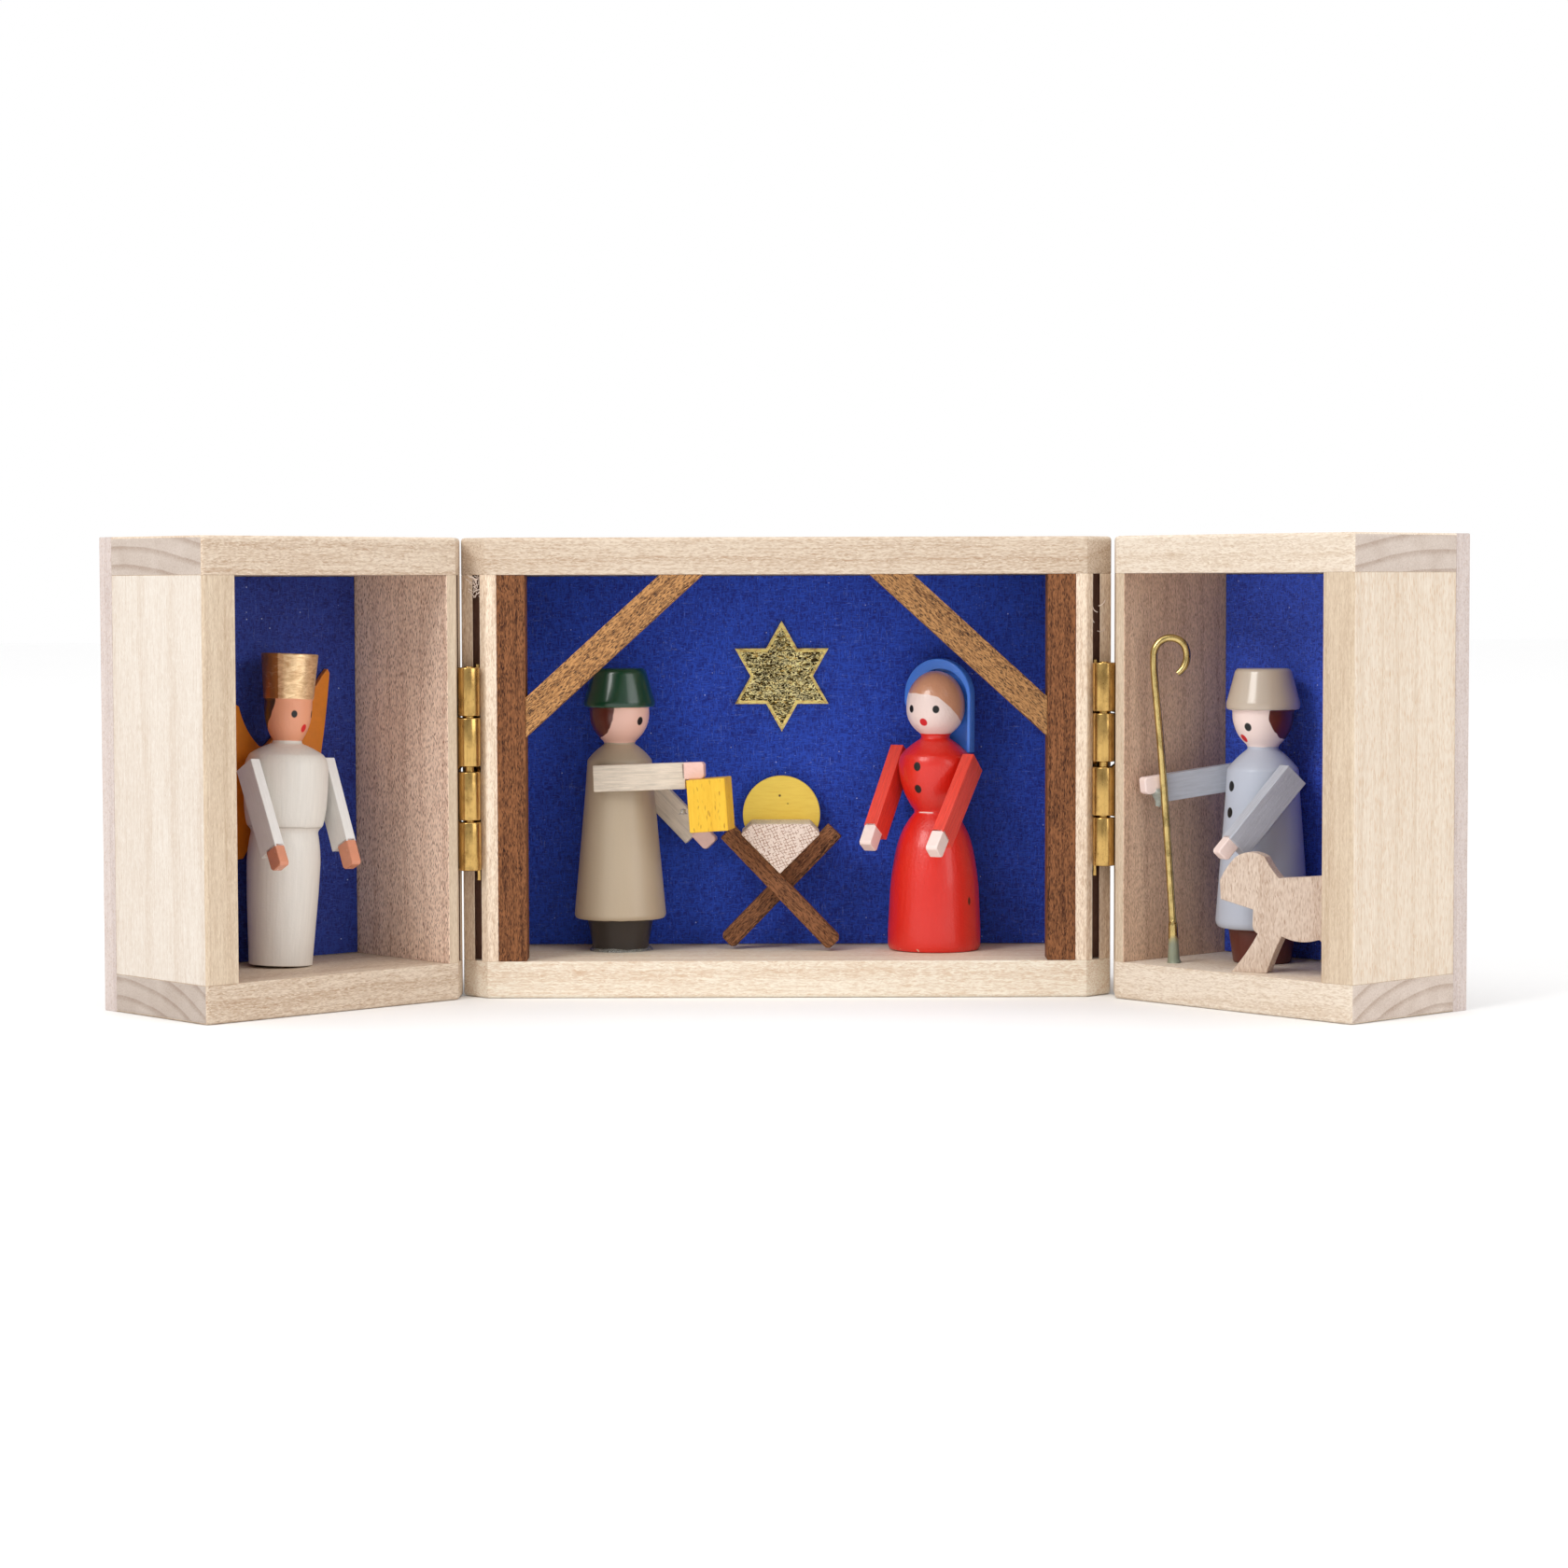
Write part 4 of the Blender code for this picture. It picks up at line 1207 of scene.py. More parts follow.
    def torn(self, tree: NodeTree, label: str, side: int, low: float, count: int, pitch: float) -> None:
        """Wood fibres that the saw left standing in a hinge's kerf.

        Args:
            tree: The tree that grows them.
            label: The piece's name.
            side: The hinge's side.
            low: Where the lowest one stands.
            count: How many there are.
            pitch: How far apart.
        """
        size, deep, long = self.sizes, 1.0, 0.95
        face = self.left if side < 0 else self.right
        middle = face - side * (size.kerf_near + size.kerf_far) / 2
        place = self.place @ at(middle, self.rim + deep, low)
        wood = TORN.on(f"{label}_wood", place)
        sizes = {"Count": count, "Pitch": pitch, "Length": long, "Seed": count, "Material": wood}
        shape = Shape.grown(bpy.data.meshes.new("kerf"), tree, sizes).outward()
        shape.piece(label, place, self.body, Slot.MAPLE, [wood], smooth=60, extra=True)

    def build(self) -> None:
        """Make the whole tray."""
        self.end_board("top_board", True)
        self.end_board("bottom_board", False)
        self.side_board(self.sides[0], self.left, 1, -1 in self.hinged)
        self.side_board(self.sides[1], self.right, -1, 1 in self.hinged)
        self.back_panel()
        self.blue_paper()


# --- the hinges ---


class Growth(Tree):
    """A Geometry Nodes tree with named inputs, which ends in Realize Instances and Set Material."""

    def __init__(self, name: str, inputs: Sequence[tuple[str, str]]) -> None:
        """Start the tree.

        Args:
            name: The tree's name.
            inputs: Each input's name and kind.
        """
        group = bpy.data.node_groups.new(name, "GeometryNodeTree")
        super().__init__(group)
        for label, kind in (("Geometry", "Geometry"), *inputs, ("Material", "Material")):
            group.interface.new_socket(label, in_out="INPUT", socket_type=f"NodeSocket{kind}")
        group.interface.new_socket("Geometry", in_out="OUTPUT", socket_type="NodeSocketGeometry")
        self.inputs = self.node("NodeGroupInput").outputs

    def size(self, label: str) -> Value:
        """One of the tree's inputs."""
        return Value(self, self.inputs[label])

    def finish(self, geometry: Socket) -> NodeTree:
        """Close the tree."""
        plain = self.made("GeometryNodeRealizeInstances", None, {0: geometry})
        dressed = self.made("GeometryNodeSetMaterial", None, {"Geometry": plain, "Material": self.inputs["Material"]})
        self.node("NodeGroupOutput", None, {0: dressed})
        return self.tree


def knuckle_tree() -> NodeTree:
    """Rolled tubes with eased ends, stacked at a pitch, beside whatever leaf comes in."""
    inputs = [(name, "Float") for name in ("Radius", "Bore", "Height", "Pitch", "Foot", "Corner")]
    tree = Growth("knuckles", [*inputs, ("Count", "Int")])
    radius, bore, height = tree.size("Radius"), tree.size("Bore"), tree.size("Height")
    ring = tree.made("GeometryNodeCurvePrimitiveCircle", None, {"Resolution": 56, "Radius": (radius + bore) * 0.5})
    wall = tree.made("GeometryNodeCurvePrimitiveQuadrilateral", None, {"Width": radius - bore, "Height": height})
    sockets = {"Curve": wall, "Count": 3, "Radius": tree.size("Corner"), "Limit Radius": True}
    wall = tree.made("GeometryNodeFilletCurve", {"mode": "POLY"}, sockets)
    tube = tree.made("GeometryNodeCurveToMesh", None, {"Curve": ring, "Profile Curve": wall})
    foot = tree.vector(0.0, 0.0, height * 0.5 + tree.size("Foot"))
    sockets = {"Count": tree.size("Count"), "Start Location": foot, "Offset": tree.vector(0.0, 0.0, tree.size("Pitch"))}
    stack = tree.made("GeometryNodeMeshLine", None, sockets)
    tubes = tree.made("GeometryNodeInstanceOnPoints", None, {"Points": stack, "Instance": tube})
    join = tree.node("GeometryNodeJoinGeometry", None, {0: tree.inputs["Geometry"]})
    tree.tree.links.new(tubes, join.inputs[0])
    return tree.finish(join.outputs[0])


def wire_tree() -> NodeTree:
    """A round wire swept along a curve, as thick as the curve's own radius says."""
    tree = Growth("bent_wire", [("Wire", "Float"), ("Step", "Float"), ("Sides", "Int")])
    path = tree.inputs["Geometry"]
    smooth = tree.made("GeometryNodeCurveSplineType", {"spline_type": "CATMULL_ROM"}, {"Curve": path})
    path = tree.made("GeometryNodeResampleCurve", {"mode": "LENGTH"}, {"Curve": smooth, "Length": tree.size("Step")})
    sizes = {"Resolution": tree.size("Sides"), "Radius": tree.size("Wire")}
    round_ = tree.made("GeometryNodeCurvePrimitiveCircle", None, sizes)
    scale = tree.made("GeometryNodeInputRadius")
    sockets = {"Curve": path, "Profile Curve": round_, "Scale": scale, "Fill Caps": True}
    return tree.finish(tree.made("GeometryNodeCurveToMesh", None, sockets))


def fibre_tree() -> NodeTree:
    """Short curled wood fibres that the saw left along a line."""
    tree = Growth("fibres", [("Count", "Int"), ("Pitch", "Float"), ("Length", "Float"), ("Seed", "Int")])
    line = tree.made(
        "GeometryNodeMeshLine", None, {"Count": tree.size("Count"), "Offset": tree.vector(0.0, 0.0, tree.size("Pitch"))}
    )
    sockets = {0: (-0.3, -0.3, -0.2), 1: (0.3, 0.2, 0.2), "Seed": tree.size("Seed")}
    drift = tree.made("FunctionNodeRandomValue", {"data_type": "FLOAT_VECTOR"}, sockets)
    points = tree.made("GeometryNodeSetPosition", None, {"Geometry": line, "Offset": drift})
    long = tree.size("Length")
    hair = {"Resolution": 6, "Start": (0.0, 0.0, 0.0), "Middle": tree.vector(long * 0.5, long * -0.15, long * 0.35)}
    hair["End"] = tree.vector(long * 0.35, long * 0.1, long)
    curl = tree.made("GeometryNodeCurveQuadraticBezier", None, hair)
    thin = tree.made("GeometryNodeCurvePrimitiveCircle", None, {"Resolution": 5, "Radius": 0.045})
    sliver = tree.made("GeometryNodeCurveToMesh", None, {"Curve": curl, "Profile Curve": thin, "Fill Caps": True})
    spin = {0: (-1.2, -1.2, 0.0), 1: (1.2, 1.2, 6.28), "Seed": tree.size("Seed")}
    turn = tree.made("FunctionNodeRandomValue", {"data_type": "FLOAT_VECTOR"}, spin)
    rotation = tree.made("FunctionNodeEulerToRotation", None, {0: turn})
    sockets = {"Points": points, "Instance": sliver, "Rotation": rotation}
    return tree.finish(tree.made("GeometryNodeInstanceOnPoints", None, sockets))


@dataclass
class Hinge:
    """A butt hinge: a leaf in each tray's kerf, rolled round one pin."""

    side: int
    wing: Body
    wing_place: Matrix
    foot: float
    center_owns: tuple[int, int]
    knuckle: float = 5.2
    gaps: Point = (0.2, 0.58, 0.2)
    center_radius: float = 1.19
    wing_radius: float = 1.24
    bore: float = 0.52
    pin: float = 0.5
    pin_proud: float = 0.11
    drop: float = 1.2
    lift: float = 0.3
    from_axis: float = 0.65
    thick: float = 0.45
    deep: float = 6.06
    clear: float = 1.25

    @property
    def axis(self) -> Matrix:
        """The pin's frame in the centre tray."""
        return Matrix.Translation(self.wing_place.translation)

    @property
    def label(self) -> str:
        """Which hinge it is."""
        return "left" if self.side < 0 else "right"

    def spans(self) -> list[Flat]:
        """The (low, high) of the four knuckles, from the top one down."""
        top = self.foot + 4 * self.knuckle + sum(self.gaps)
        spans = []
        for gap in (*self.gaps, 0.0):
            spans.append((top - self.knuckle, top))
            top -= self.knuckle + gap
        return spans

    def leaf(
        self, tree: NodeTree, name: str, place: Matrix, body: Body, inward: int, owns: tuple[int, int], radius: float
    ) -> None:
        """One leaf with its own two knuckles, notched past the other leaf's two.

        Args:
            tree: The tree that rolls the knuckles.
            name: The solid that it stands for.
            place: The frame with the pin on its vertical axis.
            body: The body that it rides on.
            inward: Towards which side the leaf lies of the pin.
            owns: Its knuckles' numbers from the top.
            radius: Their outside radius.
        """
        spans = self.spans()
        hidden = self.clear + 0.12
        foot = self.foot - self.drop
        outline = [(self.deep, spans[0][1] + self.lift), (self.deep, foot), (hidden, foot), (hidden, self.foot)]
        for index in (3, 2, 1, 0):
            low, high = spans[index]
            reach = 0.15 if index in owns else self.clear
            outline += [(reach, low), (reach, high)]
        outline += [(hidden, spans[0][1]), (hidden, spans[0][1] + self.lift)]
        near, far = sorted((inward * self.from_axis, inward * (self.from_axis + self.thick - 0.04)))
        turn = axes((0, 1, 0), (0, 0, 1), (1, 0, 0))
        plate = Shape.plate(outline, near, far).moved(turn).eased(0.06, segments=2)
        mesh = bpy.data.meshes.new("leaf")
        plate.mesh.to_mesh(mesh)
        low, high = (spans[index][0] for index in sorted(owns, reverse=True))
        brass = Brass().on(f"{name}_brass", place)
        sizes = {"Radius": radius, "Bore": self.bore, "Height": self.knuckle, "Corner": 0.13}
        sizes |= {"Pitch": high - low, "Foot": low, "Count": 2, "Material": brass}
        shape = Shape.grown(mesh, tree, sizes).outward()
        shape.piece(name, place, body, Slot.BRASS, [brass], smooth=40)

    def rod(self) -> None:
        """The pin, its ends peened round."""
        top = self.spans()[0][1] + self.pin_proud
        radius = self.pin
        profile = [(0.0, top), (radius, top), (radius, self.foot), (0.0, self.foot)]
        name = f"{self.label}_hinge_pin"
        brass = Brass(bright=tint(204, 166, 96)).on(f"{name}_brass", self.axis)
        shape = Shape.turned(softened(profile, 0.12), 32)
        shape.piece(name, self.axis, Body.CENTER, Slot.BRASS, [brass], smooth=50)

    def build(self, tree: NodeTree) -> None:
        """Make both leaves and the pin."""
        wing_owns = tuple(index for index in range(4) if index not in self.center_owns)
        name = f"{self.label}_hinge_center_leaf"
        self.leaf(tree, name, self.axis, Body.CENTER, -self.side, self.center_owns, self.center_radius)
        name = f"{self.label}_hinge_wing_leaf"
        self.leaf(tree, name, self.wing_place, self.wing, self.side, wing_owns, self.wing_radius)
        self.rod()


# --- the timber frame, the star and the crib ---


@dataclass
class TimberFrame:
    """Two posts and the braces between them and the top board."""

    inner: float = 31.0
    floor: float = FLOOR_Z
    ceiling: float = 45.5
    rim: float = RIM_Y
    post_wide: float = 3.05
    post_deep: float = 3.5
    stock: float = 3.15
    brace_deep: float = 3.2
    brace_foot: float = 28.1
    angle: float = 42.4

    def post(self, name: str, side: int) -> None:
        """A post in a front corner."""
        xs = sorted((side * self.inner, side * (self.inner - self.post_wide)))
        low = (xs[0], self.rim, self.floor)
        high = (xs[1], self.rim + self.post_deep, self.ceiling)
        place = at(0.0, 0.0)
        shape = Shape.block(low, high).eased(0.14)
        wood = STAINED.on(f"{name}_wood", place, seed=3.0 + side)
        shape.piece(name, place, Body.CENTER, Slot.STAINED, [wood])

    def brace(self, name: str, side: int) -> None:
        """A sloping brace, cut to stand against the post and the ceiling."""
        angle = math.radians(self.angle)
        foot = self.inner - self.post_wide
        upper = self.brace_foot + self.stock / math.cos(angle)
        reach = [(self.ceiling - height) / math.tan(angle) for height in (upper, self.brace_foot)]
        ceiling = [(foot - away, self.ceiling) for away in reach]
        outline = [(side * x, z) for x, z in [(foot, self.brace_foot), (foot, upper), *ceiling]]
        way = (-side * math.cos(angle), 0.0, math.sin(angle))
        grain = axes((0.0, 1.0, 0.0), tuple(Vector(way).cross((0.0, 1.0, 0.0))), way)
        shape = Shape.upright(outline, self.rim, self.brace_deep).eased(0.1)
        wood = OILED.toned(0.75 - 0.075 * side).on(f"{name}_wood", grain, seed=1.0 + side)
        shape.piece(name, at(0.0, 0.0), Body.CENTER, Slot.OILED, [wood])

    def build(self) -> None:
        """Make both posts and both braces."""
        for label, side in (("left", -1), ("right", 1)):
            self.post(f"{label}_post", side)
            self.brace(f"{label}_brace", side)


@dataclass
class Star:
    """A six-pointed star of card under gold foil, with a raised bevelled rim."""

    middle: Flat = (-0.53, 34.18)
    radius: float = 6.05
    tall: float = 1.025
    front: float = 6.7
    thick: float = 0.75

    def outline(self, radius: float) -> Outline:
        """The star's points and notches about its middle."""
        points = []
        for corner in range(12):
            away = radius if corner % 2 == 0 else radius / math.sqrt(3)
            angle = math.radians(90 + 30 * corner)
            points.append((away * math.cos(angle), away * math.sin(angle)))
        return points

    def build(self) -> None:
        """Make it as shrinking outlines, so that its bevel runs round every point."""
        x, z = self.middle
        # How far in and how high each outline lies, from the back over the rim, and how high the middle
        rim = ((0.0, 0.0), (0.0, 0.45), (0.14, 0.62), (0.3, 0.7), (0.42, 0.72), (0.62, 0.62), (0.75, 0.6))
        peak = 0.64
        rings = []
        for inset, height in rim:
            outline = self.outline(self.radius - inset * 2.0)
            rings.append([(across, up * self.tall, height) for across, up in outline])
        shape = Shape.lofted([*rings, [(0.0, 0.0, peak)]])
        place = at(x, self.front + self.thick, z) @ STANDING
        foil = Foil().on("star_foil", at(x, 0.0, z), self.radius)
        shape.piece("star", place, Body.CENTER, Slot.FOIL, [foil])


@dataclass
class Crib:
    """Two crossed legs, the solid trough that lies on them and the round halo behind it."""

    rim: float = RIM_Y
    wide: float = 2.02
    middle: float = -0.66
    trough_front: float = 8.0
    trough_deep: float = 8.0
    halo_radius: float = 4.33
    halo_thick: float = 0.85
    halo_front: float = 16.1

    def leg(self, name: str, start: Flat, end: Flat, front: float, deep: float, seed: float) -> None:
        """A square leg from its cut top to its rounded foot.

        Args:
            name: The solid that it stands for.
            start: The middle of its top end in XZ.
            end: The middle of its foot.
            front: How far its face lies behind the rim.
            deep: Its depth.
            seed: Its own stretch of wood.
        """
        along = Vector(end) - Vector(start)
        angle = math.atan2(along.y, along.x)
        half, corner, long = self.wide / 2, 0.35, along.length
        outline = [(0.0, -half), (long - corner, -half), (long, -half + corner)]
        outline += [(long, half - corner), (long - corner, half), (0.0, half)]
        turn = Matrix.Rotation(-angle, 4, "Y") @ STANDING
        place = at(start[0], self.rim + front + deep / 2, start[1]) @ turn
        wood = replace(STAINED, pale=tint(148, 98, 64), deep=tint(56, 31, 18))
        finishes = [wood.on(f"{name}_wood", place, Grain.LENGTHWISE, seed)]
        shape = Shape.plate(outline, -deep / 2, deep / 2).eased(0.12)
        shape.piece(name, place, Body.CENTER, Slot.STAINED, finishes)

    def trough(self) -> None:
        """The solid trough, its end grain to the front."""
        outline = [(-0.1, 12.74), (4.3, 17.1), (3.25, 18.22), (-3.25, 18.22), (-4.36, 17.1)]
        place = at(self.middle, self.rim)
        shape = Shape.upright(outline, self.trough_front, self.trough_deep).eased(0.14)
        shape.dressed(lambda middle, normal: int(abs(normal.y) > 0.6))
        wood = replace(BEECH, pale=tint(250, 238, 206), deep=tint(226, 206, 168))
        ends = replace(MAPLE_ENDS, pale=tint(226, 208, 196), deep=tint(160, 124, 104), rings=0.05, hatch=1.7)
        finishes = Stock(wood, ends).on("trough", place, Grain.ACROSS, 4.0)
        shape.piece("crib_trough", place, Body.CENTER, Slot.PALE_BEECH, finishes)

    def halo(self) -> None:
        """The yellow disc behind the trough, with the mark of the nail that held it for painting."""
        radius, thick = self.halo_radius, self.halo_thick
        profile = softened([(0.0, thick), (radius, thick), (radius, 0.0), (0.0, 0.0)], 0.16)
        place = at(-0.59, self.rim + self.halo_front + thick, 18.77) @ STANDING
        finish = Finish("halo_paint", place)
        stroke = finish.noise((0.5, 4.0, 1.0), 3.0, 0.65)
        colour = finish.mix((stroke - 0.4) * 1.4, tint(254, 222, 94), tint(238, 196, 68))
        hole = finish.spot((-0.2, 2.1, thick), 0.13).most(finish.spot((0.7, 1.2, thick), 0.07))
        colour = finish.mix(hole, colour, tint(90, 60, 20))
        paint = finish.done(colour, 0.45, stroke - hole, 0.02)
        Shape.turned(profile, 96).piece("crib_halo", place, Body.CENTER, Slot.YELLOW, [paint], smooth=50)

    def build(self) -> None:
        """Make the legs, the trough and the halo."""
        self.leg("crib_front_leg", (-6.58, 17.25), (5.25, 4.8), front=10.15, deep=1.9, seed=6.0)
        self.leg("crib_back_leg", (5.36, 17.24), (-6.66, 4.82), front=12.15, deep=1.9, seed=8.0)
        self.trough()
        self.halo()


# --- the figures ---


def radius_at(profile: Outline, height: float) -> float:
    """The widest that a turned profile is at that height."""
    found = 0.0
    for (r0, z0), (r1, z1) in zip(profile, profile[1:]):
        if min(z0, z1) <= height <= max(z0, z1):
            share = (height - z0) / (z1 - z0) if z1 != z0 else 0.0
            found = max(found, r0 + (r1 - r0) * share)
    return found


def hat_and_head(top: Flat, crown: Flat, brim: Flat, band: Flat, *below: Stop) -> Outline:
    """A flat-topped hat of (radius, height) places, then the chin, the neck and all below as drawn takes them."""
    return drawn((0.0, top[1]), top, (*crown, 0.08, 4), brim, (brim[0] - 0.06, band[1] + 0.05), band, *below)


@dataclass
class Arm:
    """A flat sleeve glued to one side of a figure."""

    side: int
    shoulder: Flat
    swing: float
    thick: float = 1.4
    wide: float = 2.9
    sleeve: float = 10.25
    hand_long: float = 2.1
    hand_high: float = 1.85

    def directions(self) -> tuple[Flat, Flat]:
        """Along and across the arm as (forward, up), swung forward from hanging down."""
        angle = math.radians(self.swing)
        return (math.sin(angle), -math.cos(angle)), (math.cos(angle), math.sin(angle))

    def clearance(self, profile: Outline) -> float:
        """How far out its inner face lies, to be just clear of the body."""
        along, across = self.directions()
        reach = 0.0
        for step in range(41):
            for edge in (-0.5, 0.0, 0.5):
                run = step / 40 * self.sleeve
                forward = self.shoulder[0] + along[0] * run + across[0] * edge * self.wide
                up = self.shoulder[1] + along[1] * run + across[1] * edge * self.wide
                radius = radius_at(profile, up)
                if abs(forward) < radius:
                    reach = max(reach, math.sqrt(radius**2 - forward**2))
        return reach + 0.06

    def place(self, stand: Matrix, profile: Outline) -> Matrix:
        """The arm's frame: along the sleeve, across it, and out of the figure's side."""
        along, across = self.directions()
        out = self.clearance(profile) + self.thick / 2
        turn = axes((0, -along[0], along[1]), (0, -across[0], across[1]), (-1, 0, 0))
        return stand @ at(-self.side * out, -self.shoulder[0], self.shoulder[1]) @ turn

    def shape(self) -> Shape:
        """The square-cut sleeve with the whittled hand at its end."""
        half, low, tip = self.wide / 2, self.wide / 2 - self.hand_high, self.sleeve + self.hand_long
        depth = self.thick / 2
        sleeve = [(0.0, -half), (self.sleeve, -half), (self.sleeve, half), (0.0, half)]
        hand = [(self.sleeve - 0.4, low), (tip - 0.3, low), (tip, low + 0.28), (tip, half - 0.22), (tip - 0.24, half)]
        hand.append((self.sleeve - 0.4, half))
        grip = min(depth, 0.72)
        made = Shape.plate(hand, -grip, grip).eased(0.13, segments=2).dressed(lambda middle, normal: 1)
        return Shape.plate(sleeve, -depth, depth).eased(0.09).joined(made)


@dataclass
class Doll:
    """A turned figure with two arms. Subclasses give its profile and paint."""

    name: str
    body: Body
    stand: Matrix
    slot: Slot
    arms: tuple[Arm, Arm]
    sleeve: Paint
    hand: Paint
    strokes: Flat = (0.15, 0.7)

    def profile(self) -> Outline:
        """The turned outline of (radius, height) from the top down."""
        raise NotImplementedError

    def paint(self, coats: Callable[[Paint], Coats]) -> Material:
        """The body's paints, laid over the first one."""
        raise NotImplementedError

    def build(self) -> None:
        """Make the body and both arms."""
        profile = self.profile()
        node = f"{self.name}_body"
        finish = Finish(f"{node}_paint", self.stand)
        paint = self.paint(lambda first: Coats(finish, profile, self.strokes, first))
        shape = Shape.turned(softened(profile, 0.22))
        shape.piece(node, self.stand, self.body, self.slot, [paint], smooth=50)
        for label, arm in zip(("right", "left"), self.arms):
            node = f"{self.name}_{label}_arm"
            place = arm.place(self.stand, profile)
            finishes = [self.sleeve.on(f"{node}_sleeve", place), self.hand.on(f"{node}_hand", place, (1.5, 1.5, 1.5))]
            arm.shape().piece(node, place, self.body, self.slot, finishes)
        self.extras(profile)

    def extras(self, profile: Outline) -> None:
        """What else the figure has."""


@dataclass
class Joseph(Doll):
    """He stands at the left and holds a lantern out over the crib."""

    lantern_wide: float = 4.27
    lantern_tall: float = 5.75

    def profile(self) -> Outline:
        """Tall hat, long coat flaring to its hem, boots."""
        return hat_and_head(
            (2.64, 31.24), (3.06, 30.6), (3.95, 27.5), (3.24, 26.95), (1.8, 23.2, 0.56), (1.66, 22.88),
            (3.56, 21.11, 0.12, 6), (3.85, 17.2), (5.04, 4.3), (4.84, 3.58, 0.1, 4), (3.66, 3.5), (3.14, 0.81),
            (3.14, 0.0), (0.0, 0.0),
        )

    def paint(self, coats: Callable[[Paint], Coats]) -> Material:
        """Beige coat, dark boots, red-brown hair and a green hat."""
        paint = coats(Paint(tint(188, 170, 145), 0.42, 0.12, brush=0.3, shade=0.86))
        z = paint.height
        paint.over(z.rise(22.98, 23.08), SKIN)
        stops = [(0.0, 1.0), (0.12, 0.9), (0.18, 0.74), (0.268, 0.62), (0.418, 0.557), (0.618, 0.515), (0.8, 0.5)]
        paint.hair([*stops, (1.0, 0.488)], 23.2, Paint(tint(96, 40, 28), 0.32, 0.35, brush=0.35, shade=0.7))
        paint.over(z.rise(26.95, 27.0), Paint(tint(10, 60, 36), 0.3, 0.45, brush=0.25, shade=0.8))
        paint.over(z.rise(26.93, 26.97) * z.rise(27.16, 27.08), Paint(tint(52, 94, 74), 0.3, 0.4, brush=0.2))
        paint.eyes(33.0, 25.45, 0.4, 1.2)
        paint.over(z.rise(3.66, 3.54), Paint(tint(48, 40, 36), 0.35, 0.2, brush=0.3, shade=0.7))
        return paint.done()

    def extras(self, profile: Outline) -> None:
        """The lantern in his hand, and the glue at his feet."""
        half, tall = self.lantern_wide / 2, self.lantern_tall / 2
        place = self.stand @ at(-4.5, -11.05, 16.5) @ Matrix.Rotation(-math.radians(4.0), 4, "X")
        shape = Shape.block((-half, -half, -tall), (half, half, tall)).eased(0.12)
        yellow = Wood(
            tint(240, 194, 60), tint(226, 172, 42), tint(160, 106, 28), rings=0.3, streaks=0.9, flecks=0.75,
            fleck_size=(0.17, 0.17, 0.9), fleck_share=0.3, rough=0.42, glints=0.3,
        )
        shape.piece("lantern", place, self.body, Slot.YELLOW, [yellow.on("lantern_wood", place, seed=2.0)])
        ring = [(3.1, 0.34), (3.3, 0.3), (3.46, 0.12), (3.52, 0.0), (3.1, 0.0)]
        self.bead("joseph_foot_glue", ring, 0.16)
        drop = drawn((0.0, 0.0), (0.55, 0.12, 0.1), (0.3, 0.62, 0.15), (0.0, 0.7))
        place = self.stand @ at(-2.9, -7.7, 15.2)
        pale = [Glue(tint(226, 222, 214), 0.8).on("lantern_glue_pale", place)]
        Shape.turned(drop, 24).piece("lantern_glue_looks", place, self.body, self.slot, pale, smooth=60, extra=True)

    def bead(self, name: str, section: Outline, waver: float) -> None:
        """A ring of glue round the foot, whose section is (radius, height)."""
        steps, boot = 72, 3.1
        rings = []
        for step in range(steps):
            angle = 2 * math.pi * step / steps
            swell = 1.0 + waver * math.sin(3 * angle + 0.7) + waver * 0.6 * math.sin(7 * angle)
            aways = [(boot + (radius - boot) * swell, height * swell) for radius, height in section]
            rings.append([(away * math.sin(angle), -away * math.cos(angle), height) for away, height in aways])
        shape = Shape.lofted(rings, closed=True)
        glue = Glue().on(f"{name}_clear", self.stand)
        shape.piece(name, self.stand, self.body, self.slot, [glue], smooth=60, extra=True)


